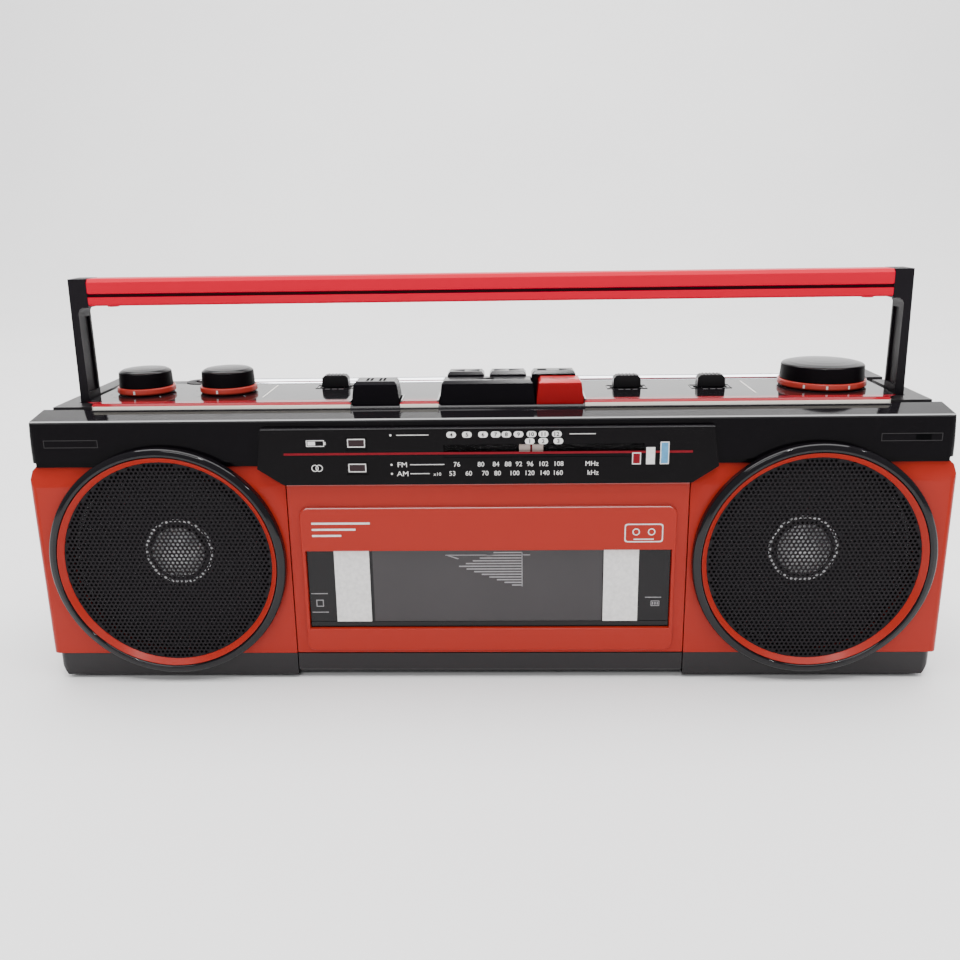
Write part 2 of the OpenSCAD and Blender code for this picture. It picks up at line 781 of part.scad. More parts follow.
module handle_arms() {
    inner = handle_hw - arm_w;
    color("#1a191b") both_sides() difference() {
        union() {
            along_y(pivot_y - arm_d / 2, pivot_y + arm_d / 2) arm_outline();
            rod_x(pivot_y, pivot_z, arm_d / 2, inner, handle_hw);
            rod_x(pivot_y, pivot_z, pin_r, channel_in - 1.8, handle_hw + 1);
        }
        block([inner - 1, pivot_y - arm_d / 2 + 1.2, pivot_z + 9],
              [inner + 0.8, pivot_y + arm_d / 2 - 1.2, grip_low - 4]);
    }
}

// ---------- Aerial ----------

module antenna_swivel() {
    color("#1a191b") difference() {
        rod_z(antenna_x, antenna_y, swivel_r, deck_z - 6.7, deck_z + 1.4);
        block([antenna_x - 2.4, antenna_y - 1.6, deck_z - 3], [antenna_x + 8, antenna_y + 1.6, deck_z + 2]);
        rod_x(antenna_y, deck_z, tube_r + 0.4, antenna_x + 2.6, antenna_x + 8);
        rod_y(antenna_x, deck_z, 0.8 + run, antenna_y - 7, antenna_y + 7);
    }
}

module antenna_tube() {
    color("#d8dadd") difference() {
        union() {
            rod_x(antenna_y, deck_z, tube_r, antenna_x + 7, tube_end);
            rod_x(antenna_y, deck_z, 1.2, antenna_x, antenna_x + 8);
            rod_y(antenna_x, deck_z, 1.9, antenna_y - 1.2, antenna_y + 1.2);
            rod_y(antenna_x, deck_z, 0.8, antenna_y - 5, antenna_y + 5);
        }
        rod_x(antenna_y, deck_z, 1.7 + run, antenna_x + 12, tube_end + 1);
    }
}

module antenna_rod() {
    color("#d8dadd") difference() {
        rod_x(antenna_y, deck_z, 1.7, antenna_x + 13, tube_end + 1.5);
        rod_x(antenna_y, deck_z, 1.1 + run, antenna_x + 18, tube_end + 2);
    }
}

module antenna_tip() {
    color("#d8dadd") union() {
        rod_x(antenna_y, deck_z, 1.1, antenna_x + 19, tip_end - 4);
        rod_x(antenna_y, deck_z, 2.4, tip_end - 5, tip_end);
    }
}

// ---------- Electronics ----------

module main_board() {
    top = board_z + board_t;
    color("#3f6b3a") block([-134, -4, board_z], [134, 26, top]);
    color("#9a9ca0") {
        for (x = small_knob_x) rod_z(x, small_knob_y + 2.5, 6, top, top + 7);
        rod_z(tuning_x, tuning_y + 1, 4.5, top, pot_top);
        block([tuning_x - 12, 5, top], [tuning_x + 12, 23, top + 10]);
        block([-76, 8, top], [-48, 23, top + 9]);
    }
    color("#55432f") block([-30, 15, top], [70, 23, top + 7]);
}

front_cabinet();
front_panel();
rear_cabinet();
battery_cover();
battery_contacts();
control_panel();
panel_trim();
jack_plate();
feet();
case_screws();
dial_bezel();
dial_window();
dial_needle();
indicator_lenses();
speaker_ring(-speaker_x);  // speaker_ring_left
speaker_ring(speaker_x);  // speaker_ring_right
speaker_grille(-speaker_x);  // speaker_grille_left
speaker_grille(speaker_x);  // speaker_grille_right
speaker_frame(-speaker_x);  // speaker_frame_left
speaker_frame(speaker_x);  // speaker_frame_right
speaker_cone(-speaker_x);  // speaker_cone_left
speaker_cone(speaker_x);  // speaker_cone_right
dust_cap(-speaker_x);  // dust_cap_left
dust_cap(speaker_x);  // dust_cap_right
knob_cap(small_knob_x[0], small_knob_y, small_r);  // volume_knob
knob_ring(small_knob_x[0], small_knob_y, small_r);  // volume_ring
knob_cap(small_knob_x[1], small_knob_y, small_r);  // balance_knob
knob_ring(small_knob_x[1], small_knob_y, small_r);  // balance_ring
knob_cap(tuning_x, tuning_y, tuning_r);  // tuning_knob
knob_ring(tuning_x, tuning_y, tuning_r);  // tuning_ring
color("#151417") front_key("pause_key");  // pause_key
color("#151417") front_key("play_key");  // play_key
color("#b0161c") front_key("record_key");  // record_key
color("#151417") rear_key("rewind_key");  // rewind_key
color("#151417") rear_key("forward_key");  // forward_key
color("#151417") rear_key("stop_key");  // stop_key
slide_switch(0);  // function_switch
slide_switch(1);  // band_switch
slide_switch(2);  // mode_switch
door_panel();
door_sill();
door_window();
door_strips();
cassette_holder();
deck_plate();
spindle(hub_pitch / 2);  // supply_spindle
spindle(-hub_pitch / 2);  // takeup_spindle
capstan_flywheel();
pinch_roller();
head_bridge();
motor();
motor_pulley();
drive_belt();
handle_grip();
handle_arms();
antenna_swivel();
antenna_tube();
antenna_rod();
antenna_tip();
main_board();
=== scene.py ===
import json
import math

import bmesh
import bpy
from mathutils import Matrix, Vector

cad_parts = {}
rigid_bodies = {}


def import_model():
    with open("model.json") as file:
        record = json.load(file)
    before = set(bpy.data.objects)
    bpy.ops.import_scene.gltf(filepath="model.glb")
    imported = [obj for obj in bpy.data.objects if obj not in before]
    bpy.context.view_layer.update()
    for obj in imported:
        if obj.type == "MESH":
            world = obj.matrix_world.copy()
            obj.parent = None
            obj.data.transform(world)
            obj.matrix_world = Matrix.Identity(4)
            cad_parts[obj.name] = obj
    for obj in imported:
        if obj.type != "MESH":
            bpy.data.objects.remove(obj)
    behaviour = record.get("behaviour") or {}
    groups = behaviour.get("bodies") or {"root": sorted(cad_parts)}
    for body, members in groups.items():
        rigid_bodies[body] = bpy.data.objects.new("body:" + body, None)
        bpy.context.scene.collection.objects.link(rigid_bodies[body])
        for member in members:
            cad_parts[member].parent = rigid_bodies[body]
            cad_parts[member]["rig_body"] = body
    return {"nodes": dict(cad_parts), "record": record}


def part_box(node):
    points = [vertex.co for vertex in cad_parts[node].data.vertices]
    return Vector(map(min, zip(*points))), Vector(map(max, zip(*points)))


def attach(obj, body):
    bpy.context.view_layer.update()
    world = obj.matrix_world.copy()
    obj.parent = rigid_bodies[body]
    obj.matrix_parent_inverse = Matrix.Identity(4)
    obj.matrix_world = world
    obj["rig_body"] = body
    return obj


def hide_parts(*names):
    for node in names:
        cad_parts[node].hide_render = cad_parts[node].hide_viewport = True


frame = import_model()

MM = 0.001           # shapes are worked out in millimetres and scaled once, in piece()
PRINT_LIFT = 0.03    # how far a print stands proud of what is under it, in millimetres
scene = bpy.context.scene
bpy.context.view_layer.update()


# ---------- Measuring ----------

def span(node):
    """Lowest and highest corners of a CAD node, in millimetres."""
    low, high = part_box(node)
    return low / MM, high / MM


def centre(node):
    low, high = span(node)
    return (low + high) / 2


def colour(red, green, blue):
    """A screen colour from 0 to 255 as linear light."""
    linear = []
    for value in (red, green, blue):
        share = value / 255
        linear.append(share / 12.92 if share < 0.04045 else ((share + 0.055) / 1.055) ** 2.4)
    return (*linear, 1.0)


def scaled(base, factor):
    """A lighter or darker version of a colour."""
    return (*(min(1, c * factor) for c in base[:3]), 1.0)


# ---------- Materials ----------

MATERIALS = {}


class Recipe:
    """One procedural material while it is put together."""

    def __init__(self, name):
        self.material = bpy.data.materials.new(name)
        MATERIALS[name] = self.material
        self.material.use_nodes = True
        self.tree = self.material.node_tree
        self.shader = self.tree.nodes["Principled BSDF"]
        self.place = self.add("ShaderNodeTexCoord").outputs["Object"]

    def add(self, kind, **settings):
        node = self.tree.nodes.new(kind)
        for key, value in settings.items():
            setattr(node, key, value)
        return node

    def link(self, source, target):
        self.tree.links.new(source, target)

    def set(self, socket, value):
        self.shader.inputs[socket].default_value = value

    def noise(self, per_metre, detail=3.0, stretch=(1, 1, 1), rough=0.55):
        """Noise with features of about 1 / per_metre metres, drawn out along an axis by a small stretch."""
        mapping = self.add("ShaderNodeMapping")
        mapping.inputs["Scale"].default_value = stretch
        self.link(self.place, mapping.inputs["Vector"])
        node = self.add("ShaderNodeTexNoise")
        node.inputs["Scale"].default_value = per_metre
        node.inputs["Detail"].default_value = detail
        node.inputs["Roughness"].default_value = rough
        self.link(mapping.outputs["Vector"], node.inputs["Vector"])
        return node.outputs["Fac"]

    def ranged(self, source, low, high, new_low=0.0, new_high=1.0):
        """The source's stretch from low to high spread over a new range."""
        node = self.add("ShaderNodeMapRange", clamp=True)
        node.inputs["From Min"].default_value = low
        node.inputs["From Max"].default_value = high
        node.inputs["To Min"].default_value = new_low
        node.inputs["To Max"].default_value = new_high
        self.link(source, node.inputs["Value"])
        return node.outputs["Result"]

    def math(self, operation, first, second):
        node = self.add("ShaderNodeMath", operation=operation)
        for socket, value in zip(node.inputs, (first, second)):
            if isinstance(value, (int, float)):
                socket.default_value = value
            else:
                self.link(value, socket)
        return node.outputs["Value"]

    def mix(self, share, first, second):
        """Blend of two colours, each a colour or a socket."""
        node = self.add("ShaderNodeMix", data_type="RGBA")
        self.link(share, node.inputs["Factor"])
        for socket, value in ((node.inputs[6], first), (node.inputs[7], second)):
            if isinstance(value, tuple):
                socket.default_value = value
            else:
                self.link(value, socket)
        return node.outputs[2]

    def upward(self):
        """How far the surface faces up, from 0 to 1."""
        geometry = self.add("ShaderNodeNewGeometry")
        split = self.add("ShaderNodeSeparateXYZ")
        self.link(geometry.outputs["Normal"], split.inputs["Vector"])
        return self.ranged(split.outputs["Z"], 0.3, 1.0)

    def bump(self, source, strength, depth):
        node = self.add("ShaderNodeBump")
        node.inputs["Strength"].default_value = strength
        node.inputs["Distance"].default_value = depth
        self.link(source, node.inputs["Height"])
        previous = self.shader.inputs["Normal"]
        if previous.is_linked:
            self.link(previous.links[0].from_socket, node.inputs["Normal"])
        self.link(node.outputs["Normal"], previous)


def plastic(name, base, rough, cloud=0.10, grain=0.06, grain_scale=1400, dust=0.04, scratch=0.02, coat=0.0,
            shine=0.5):
    """Moulded plastic: slow tone changes, fine grain, faint hairlines and a little dust on upward faces."""
    r = Recipe(name)
    tone = r.mix(r.noise(28, 4), scaled(base, 1 - cloud), scaled(base, 1 + cloud))
    specks = r.ranged(r.noise(2600, 1), 0.66, 0.78)
    dusty = r.math("MULTIPLY", r.math("MULTIPLY", specks, r.upward()), dust)
    r.link(r.mix(dusty, tone, colour(190, 186, 180)), r.shader.inputs["Base Color"])
    hairs = r.ranged(r.noise(90, 2, (1, 14, 14)), 0.60, 0.72, 0, scratch)
    cloudy = r.ranged(r.noise(45, 5), 0.3, 0.7, rough * 0.98, rough * 1.02)
    r.link(r.math("ADD", cloudy, hairs), r.shader.inputs["Roughness"])
    r.bump(r.noise(grain_scale, 2), grain, 0.00005)
    r.set("IOR", 1.5)
    r.set("Specular IOR Level", shine)
    r.set("Coat Weight", coat)
    r.set("Coat Roughness", 0.03)


def metal(name, base, rough, stretch=(1, 1, 1), grain=0.10, cloud=0.12, tarnish=0.0, bare=1.0):
    """Plated metal, brushed where the stretch draws its noise out. bare below 1 makes it metallic paint."""
    r = Recipe(name)
    strokes = r.noise(700, 3, stretch)
    tone = r.mix(strokes, scaled(base, 1 - cloud), base)
    spots = r.ranged(r.noise(60, 5), 0.55, 0.75, 0, tarnish)
    r.link(r.mix(spots, tone, colour(105, 88, 70)), r.shader.inputs["Base Color"])
    r.link(r.ranged(strokes, 0.2, 0.8, rough * 0.7, rough * 1.4), r.shader.inputs["Roughness"])
    r.bump(strokes, grain, 0.00004)
    r.set("Metallic", bare)


def rubber(name, base, rough=0.75):
    """Rubber that has gone pale where it is worn."""
    r = Recipe(name)
    worn = r.ranged(r.noise(120, 5), 0.45, 0.7, 0, 0.5)
    r.link(r.mix(worn, base, colour(78, 76, 74)), r.shader.inputs["Base Color"])
    r.link(r.ranged(r.noise(300, 3), 0.3, 0.7, rough - 0.1, rough + 0.1), r.shader.inputs["Roughness"])
    r.bump(r.noise(1800, 2), 0.35, 0.00008)


def paper(name, base):
    """Pressed cone paper, with fibres."""
    r = Recipe(name)
    fibres = r.noise(900, 5, (1, 5, 1), 0.7)
    r.link(r.mix(fibres, base, scaled(base, 2.2)), r.shader.inputs["Base Color"])
    r.set("Roughness", 0.9)
    r.bump(fibres, 0.5, 0.0001)


def clear(name, tint, rough, solid, shine=0.5):
    """Tinted acrylic: solid is the share of it that light does not pass."""
    r = Recipe(name)
    smears = r.ranged(r.noise(25, 4), 0.3, 0.7)
    r.link(r.mix(smears, tint, scaled(tint, 0.85)), r.shader.inputs["Base Color"])
    r.link(r.ranged(r.noise(80, 4, (1, 8, 8)), 0.5, 0.8, rough, rough + 0.08), r.shader.inputs["Roughness"])
    r.bump(r.noise(300, 2), 0.02, 0.00003)
    r.set("Transmission Weight", 1 - solid)
    r.set("Specular IOR Level", shine)
    r.set("IOR", 1.49)


def film(name, tint, rough, cover):
    """A thin clear sheet, too thin to bend light: cover is the share of it that hides what is behind."""
    r = Recipe(name)
    smears = r.ranged(r.noise(40, 4), 0.35, 0.7)
    r.link(r.mix(smears, tint, scaled(tint, 1.3)), r.shader.inputs["Base Color"])
    r.link(r.ranged(r.noise(90, 4, (1, 8, 8)), 0.5, 0.8, rough, rough + 0.08), r.shader.inputs["Roughness"])
    r.bump(r.noise(300, 2), 0.02, 0.00003)
    r.set("Alpha", cover)
    r.set("Specular IOR Level", 0.1)


def ink(name, base, rough=0.45):
    """Screen-printed paint, a little uneven."""
    r = Recipe(name)
    patchy = r.ranged(r.noise(700, 4), 0.35, 0.75)
    r.link(r.mix(patchy, base, scaled(base, 0.8)), r.shader.inputs["Base Color"])
    r.link(r.ranged(r.noise(240, 3), 0.3, 0.7, rough - 0.08, rough + 0.08), r.shader.inputs["Roughness"])
    r.bump(r.noise(2200, 2), 0.1, 0.00003)
    r.set("Specular IOR Level", 0.12)


def make_materials():
    """Every finish. Recipe files each in MATERIALS."""
    black = colour(19, 17, 20)
    steel = colour(178, 180, 182)
    plastic("cabinet_black", colour(27, 24, 26), 0.32, grain=0.10, shine=0.3)
    plastic("band_black", black, 0.09, grain=0.012, shine=0.19)
    plastic("edge_gloss", black, 0.08, grain=0.01, coat=1.0, shine=0.8)
    # band_front: the band's black made darker and duller for its front faces, painted shade.
    plastic("band_front", colour(10, 8, 11), 0.14, grain=0.012, shine=0.05)
    plastic("red_moulding", colour(154, 37, 26), 0.30, cloud=0.02, grain=0.05, scratch=0.0, shine=0.16)
    # red_edge_highlight: the red moulding a little lighter and glossier for the door's top edges; the
    # lighter colour is a painted highlight.
    plastic("red_edge_highlight", colour(160, 44, 32), 0.12, cloud=0.02, grain=0.01, coat=1.0, shine=0.8)
    plastic("panel_black", black, 0.07, grain=0.01, shine=0.45)
    plastic("bezel_black", colour(9, 7, 9), 0.12, grain=0.01, shine=0.07)
    plastic("trim_silver", colour(255, 248, 232), 0.25, cloud=0.01, grain=0.02, dust=0.0, coat=1.0)
    plastic("ring_black", colour(17, 15, 18), 0.07, grain=0.01, shine=0.28)
    plastic("grille_steel", colour(24, 21, 24), 0.5, grain=0.12, grain_scale=3000, shine=0.12)
    metal("speaker_steel", steel, 0.35, tarnish=0.15)
    paper("cone_paper", colour(26, 25, 28))
    metal("dome_silver", colour(250, 250, 252), 0.4, cloud=0.03, grain=0.03, bare=0.5)
    plastic("key_black", colour(20, 18, 22), 0.17, grain=0.03, shine=0.38)
    # key_side_shade and record_side_shade: the keys' own colours made darker for their sides, painted shade.
    plastic("key_side_shade", colour(9, 7, 11), 0.22, grain=0.03, shine=0.03)
    plastic("record_side_shade", colour(142, 18, 24), 0.25, cloud=0.04, grain=0.03, shine=0.04)
    plastic("key_red", colour(206, 28, 34), 0.20, cloud=0.05, grain=0.03, shine=0.36)
    plastic("knob_black", colour(11, 9, 12), 0.20, grain=0.03, shine=0.22)
    plastic("knob_side", colour(13, 10, 13), 0.45, grain=0.05, shine=0.04)
    plastic("knob_orange", colour(176, 54, 44), 0.22, cloud=0.04, grain=0.03, shine=0.25)
    plastic("switch_black", colour(12, 10, 13), 0.32, grain=0.08, shine=0.25)
    clear("smoked_window", colour(60, 56, 58), 0.06, 0.75, 0.28)
    plastic("window_black", colour(19, 17, 19), 0.15, grain=0.01, shine=0.22)
    film("dial_clear", colour(14, 12, 14), 0.1, 0.12)
    plastic("lamp_lens", colour(44, 30, 33), 0.15, grain=0.02, shine=0.12)
    ink("white_print", colour(232, 230, 228))
    ink("red_print", colour(122, 14, 28))
    ink("blue_print", colour(90, 150, 190))
    plastic("stripe_red", colour(150, 22, 36), 0.12, cloud=0.05, grain=0.01)
    ink("grey_print", colour(150, 148, 150))
    plastic("strip_white", colour(253, 252, 250), 0.35, cloud=0.01, grain=0.0, dust=0.0, scratch=0.0)
    plastic("needle_white", colour(236, 214, 204), 0.3, cloud=0.04, dust=0.0)
    metal("deck_steel", steel, 0.32, (1, 1, 12), tarnish=0.1)
    plastic("reel_white", colour(222, 219, 210), 0.38, cloud=0.04)
    metal("flywheel_metal", colour(172, 174, 176), 0.25, (8, 1, 8))
    metal("head_metal", colour(200, 202, 204), 0.18, (1, 1, 14))
    rubber("roller_rubber", colour(30, 29, 30))
    metal("motor_can", colour(184, 186, 188), 0.3, tarnish=0.12)
    metal("pulley_brass", colour(212, 172, 92), 0.2, (8, 1, 8))
    rubber("belt_rubber", colour(22, 22, 22), 0.6)
    plastic("grip_red", colour(200, 4, 44), 0.36, cloud=0.03, grain=0.04, shine=0.06)
    # groove_painted_shade: a dark red for the grip's groove, painted shade in the groove.
    plastic("groove_painted_shade", colour(40, 6, 12), 0.6, dust=0.0, shine=0.03)
    plastic("arm_black", colour(21, 18, 22), 0.42, grain=0.10, shine=0.10)
    metal("aerial_chrome", colour(226, 228, 232), 0.10, (20, 1, 1), 0.03, 0.04, 0.05)
    plastic("board_green", colour(62, 104, 56), 0.35, cloud=0.15)
    rubber("foot_rubber", colour(24, 24, 24))
    metal("contact_metal", colour(202, 200, 190), 0.25, tarnish=0.2)
    metal("screw_steel", colour(160, 160, 162), 0.3, tarnish=0.25)
    plastic("hole_black", colour(5, 5, 6), 0.8, dust=0.0, shine=0.03)


make_materials()
NODE_SLOT = {p["node"]: p["material_slot"] for p in frame["record"]["subparts"]}


# ---------- Pieces ----------

def shade(mesh, sharp_degrees=32):
    """Smooth shading broken at real edges."""
    bm = bmesh.new()
    bm.from_mesh(mesh)
    for face in bm.faces:
        face.smooth = True
    for edge in bm.edges:
        flat = len(edge.link_faces) == 2 and edge.calc_face_angle(0) < math.radians(sharp_degrees)
        edge.smooth = flat
    bm.to_mesh(mesh)
    bm.free()


def piece(name, bm, body, materials, stands_for=(), weighted=True, recalc=True):
    """Turns a mesh in millimetres into a piece that rides on a CAD body."""
    if recalc:
        bmesh.ops.recalc_face_normals(bm, faces=bm.faces)
    bmesh.ops.scale(bm, vec=(MM, MM, MM), verts=bm.verts)
    mesh = bpy.data.meshes.new(name)
    bm.to_mesh(mesh)
    bm.free()
    for key in materials:
        mesh.materials.append(MATERIALS[key])
    shade(mesh)
    obj = bpy.data.objects.new(name, mesh)
    scene.collection.objects.link(obj)
    if weighted:
        modifier = obj.modifiers.new("weighted", "WEIGHTED_NORMAL")
        modifier.keep_sharp = True
        modifier.weight = 60
    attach(obj, body)
    if stands_for:
        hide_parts(*stands_for)
    return obj


def printed(name, bm, body, materials):
    """A piece of flat print, which keeps the normals that it was drawn with."""
    return piece(name, bm, body, materials, weighted=False, recalc=False)


def refined(node, width, steps=2, materials=None, choose=None, sharp_degrees=28, cut_z=None):
    """A CAD node with rounded edges. choose says which of the materials a face takes, from its middle, and
    cut_z is a height where faces are divided for it."""
    bm = bmesh.new()
    bm.from_mesh(frame["nodes"][node].data)
    bmesh.ops.scale(bm, vec=(1 / MM, 1 / MM, 1 / MM), verts=bm.verts)
    bmesh.ops.remove_doubles(bm, verts=bm.verts, dist=0.002)
    bmesh.ops.dissolve_limit(bm, angle_limit=math.radians(0.6), verts=bm.verts, edges=bm.edges)
    if width:
        sharp = []
        for edge in bm.edges:
            if len(edge.link_faces) == 2 and edge.calc_face_angle(0) > math.radians(sharp_degrees):
                sharp.append(edge)
        bmesh.ops.bevel(bm, geom=sharp, offset=width, segments=steps, profile=0.6, affect="EDGES",
                        clamp_overlap=True)
    if cut_z:
        everything = list(bm.verts) + list(bm.edges) + list(bm.faces)
        bmesh.ops.bisect_plane(bm, geom=everything, plane_co=(0, 0, cut_z), plane_no=(0, 0, 1))
    for face in bm.faces:
        face.material_index = choose(face.calc_center_median()) if choose else 0
    body = frame["nodes"][node]["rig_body"]
    slot = NODE_SLOT[node]
    return piece(node + "_look", bm, body, materials or [slot], [node], recalc=False)


def add_block(bm, low, high, index=0):
    """A box between two corners, added to a mesh."""
    low, high = Vector(low), Vector(high)
    made = bmesh.ops.create_cube(bm, size=1)
    size = high - low
    for vert in made["verts"]:
        vert.co = (low + high) / 2 + Vector((vert.co.x * size.x, vert.co.y * size.y, vert.co.z * size.z))
    for vert in made["verts"]:
        for face in vert.link_faces:
            face.material_index = index
    return made["verts"]


def bevel_all(bm, verts, width, steps=2):
    """Rounds every edge of the block that add_block gave."""
    edges = {edge for vert in verts for edge in vert.link_edges}
    bmesh.ops.bevel(bm, geom=list(edges), offset=width, segments=steps, profile=0.6, affect="EDGES",
                    clamp_overlap=True)


def rounded(points, radius, steps=5):
    """A closed outline with each corner replaced by an arc, no longer than its sides allow."""
    made = []
    count = len(points)
    for i in range(count):
        here = Vector(points[i])
        before = Vector(points[i - 1])
        after = Vector(points[(i + 1) % count])
        reach = min(radius, (before - here).length * 0.45, (after - here).length * 0.45)
        start = here + (before - here).normalized() * reach
        end = here + (after - here).normalized() * reach
        for step in range(steps + 1):
            t = step / steps
            made.append(start * (1 - t) ** 2 + here * (2 * t * (1 - t)) + end * t ** 2)
    return made


def softened(outline, radius, steps=3):
    """An outline that starts and ends on its axis, with the corners between rounded."""
    corners = rounded(outline, radius, steps)[steps + 1:-(steps + 1)]
    return [outline[0]] + [tuple(p) for p in corners] + [outline[-1]]


def lathe(bm, outline, origin, along, count=96, index=0):
    """An outline of radius and height turned about a line through origin, along "front" (-Y) or "up"."""
    rings = []
    for step in range(count):
        turn = 2 * math.pi * step / count
        ring = []
        for radius, height in outline:
            across = radius * math.cos(turn)
            other = radius * math.sin(turn)
            if along == "front":
                place = (origin[0] + across, -height, origin[2] + other)
            else:
                place = (origin[0] + across, origin[1] + other, height)
            ring.append(bm.verts.new(place))
        rings.append(ring)
    size = len(outline)
    for step in range(count):
        ring, following = rings[step], rings[(step + 1) % count]
        for i in range(size):
            face = bm.faces.new((ring[i], ring[(i + 1) % size], following[(i + 1) % size], following[i]))
            face.material_index = index
    bmesh.ops.remove_doubles(bm, verts=[v for ring in rings for v in ring], dist=0.0005)


def sheet_outline(bm, points, y, index=0):
    """A flat print in X and Z at a given depth."""
    face = bm.faces.new([bm.verts.new((x, y, z)) for x, z in points])
    face.material_index = index


def bar(bm, x0, z0, x1, z1, y, index=0):
    sheet_outline(bm, [(x0, z0), (x1, z0), (x1, z1), (x0, z1)], y, index)


def hollow_box(bm, x0, z0, x1, z1, line, y, index=0):
    """The four sides of a rectangle, drawn with a line of the given width."""
    bar(bm, x0, z0, x1, z0 + line, y, index)
    bar(bm, x0, z1 - line, x1, z1, y, index)
    bar(bm, x0, z0 + line, x0 + line, z1 - line, y, index)
    bar(bm, x1 - line, z0 + line, x1, z1 - line, y, index)


def ring_print(bm, x, z, outer, inner, y, index=0, count=24):
    for step in range(count):
        a, b = (2 * math.pi * (step + k) / count for k in (0, 1))
        corners = [(outer, a), (outer, b), (inner, b), (inner, a)]
        sheet_outline(bm, [(x + r * math.cos(t), z + r * math.sin(t)) for r, t in corners], y, index)


def oval(bm, x, z, half_w, half_h, y, index=0, count=24):
    points = [2 * math.pi * step / count for step in range(count)]
    sheet_outline(bm, [(x + half_w * math.cos(t), z + half_h * math.sin(t)) for t in points], y, index)


def lettering(bm, words, x, z, height, y, index=0, widen=1.0, weight=0.0):
    """Plain figures centred on x and z, facing the front. widen draws them out sideways, and weight
    thickens them."""
    curve = bpy.data.curves.new("figures", "FONT")
    curve.body = words
    curve.align_x = "CENTER"
    curve.resolution_u = 3
    curve.offset = weight
    obj = bpy.data.objects.new("figures", curve)
    scene.collection.objects.link(obj)
    bpy.context.view_layer.update()
    mesh = bpy.data.meshes.new_from_object(obj.evaluated_get(bpy.context.evaluated_depsgraph_get()))
    bpy.data.objects.remove(obj)
    bpy.data.curves.remove(curve)
    xs = [v.co.x for v in mesh.vertices]
    ys = [v.co.y for v in mesh.vertices]
    scale = height / (max(ys) - min(ys))
    mid_x, mid_y = (max(xs) + min(xs)) / 2, (max(ys) + min(ys)) / 2
    verts = [bm.verts.new((x + (v.co.x - mid_x) * scale * widen, y, z + (v.co.y - mid_y) * scale))
             for v in mesh.vertices]
    for polygon in mesh.polygons:
        face = bm.faces.new([verts[i] for i in polygon.vertices])
        face.material_index = index
    bpy.data.meshes.remove(mesh)


# ---------- Casing ----------

def casing():
    front = span("front_cabinet")[0].y
    slope = span("front_cabinet")[1].z - 1.7
    chamfer = slope - 0.47
    band_low = span("door_panel")[1].z + 5

    def band_part(p):
        """The slope on top, the polished upper part of its chamfer, the band's front in a darker, duller
        copy of the black that paints shade on it, and the rest.
        """
        if p.z > slope:
            return 0
        if p.z > chamfer and p.y < front + 1:
            return 3
        return 1 if p.z > band_low else 2

    refined("front_cabinet", 0.45, materials=["band_black", "band_front", "cabinet_black", "edge_gloss"],
            choose=band_part, cut_z=chamfer)
    refined("front_panel", 0.5, steps=3)
    refined("rear_cabinet", 0.5)
    refined("battery_cover", 0.4)
    refined("jack_plate", 0.2)
    refined("control_panel", 0.25)
    edge = span("panel_trim")[1].z - 0.55
    refined("panel_trim", 0.12, materials=["trim_silver", "stripe_red"],
            choose=lambda p: 1 if p.z > edge else 0)
    refined("feet", 0.4)
    refined("case_screws", 0.12)
    mic_slots()


def mic_slots():
    """Long shallow slots for the built-in microphones, low on the black band."""
    y = span("front_cabinet")[0].y - PRINT_LIFT
    half_h, line = 1.1, 0.25
    for name, x0, x1, z in (("mic_slot_left", -149, -131, 86.8), ("mic_slot_right", 130, 149.4, 87.0)):
        bm = bmesh.new()
        bar(bm, x0, z - half_h, x1, z + half_h, y, 0)
        hollow_box(bm, x0 - line, z - half_h - line, x1 + line, z + half_h + line, line, y - PRINT_LIFT, 1)
        if name == "mic_slot_right":
            bar(bm, x0 + 11, z - 1, x0 + 16, z + 1, y - PRINT_LIFT, 2)
        printed(name, bm, "cabinet", ["band_front", "cabinet_black", "hole_black"])


# ---------- Speakers ----------

def speakers():
    for side in ("left", "right"):
        origin = centre("speaker_ring_" + side)
        speaker_ring(side, origin)
        grille(side, origin)
        dust_cap(side, origin)


def speaker_ring(side, origin):
    """Glossy ring with a rounded front, bevelled on its inner and outer edge."""
    node = "speaker_ring_" + side
    low, high = span(node)
    outer, tip, base = (high.x - low.x) / 2, -low.y, -high.y
    outline = [(outer, base), (outer, tip - 1.1), (outer - 0.5, tip - 0.5), (outer - 1.9, tip),
               (outer - 2.6, tip - 0.1), (outer - 3, tip - 0.8), (outer - 3, base)]
    bm = bmesh.new()
    lathe(bm, rounded(outline, 0.5), origin, "front", 128)
    piece(node + "_look", bm, "cabinet", ["ring_black"], [node])


def dust_cap(side, origin):
    """A bright dome in a dark valley, inside a narrow bright rim."""
    node = "dust_cap_" + side
    low, high = span(node)
    edge, tip, seat = (high.x - low.x) / 2, -low.y, -high.y
    rim, foot = seat + 0.7, seat + 0.15
    dome_r, ball = 9.3, 12
    valley_end = edge - 1.1
    outline = [(0, tip)]
    for step in range(1, 9):
        turn = math.asin(dome_r / ball) * step / 8
        outline.append((ball * math.sin(turn), tip - ball * (1 - math.cos(turn))))
    outline += [(dome_r + 0.2, foot), (valley_end, foot), (valley_end + 0.1, rim), (edge - 0.1, rim),
                (edge - 0.1, seat), (0, seat)]
    bm = bmesh.new()
    lathe(bm, outline, origin, "front", 64)
    for face in bm.faces:
        spot = face.calc_center_median()
        reach = math.hypot(spot.x - origin.x, spot.z - origin.z)
        face.material_index = 1 if dome_r - 0.05 < reach < valley_end else 0
    piece(node + "_look", bm, "cabinet", ["dome_silver", "cone_paper"], [node])


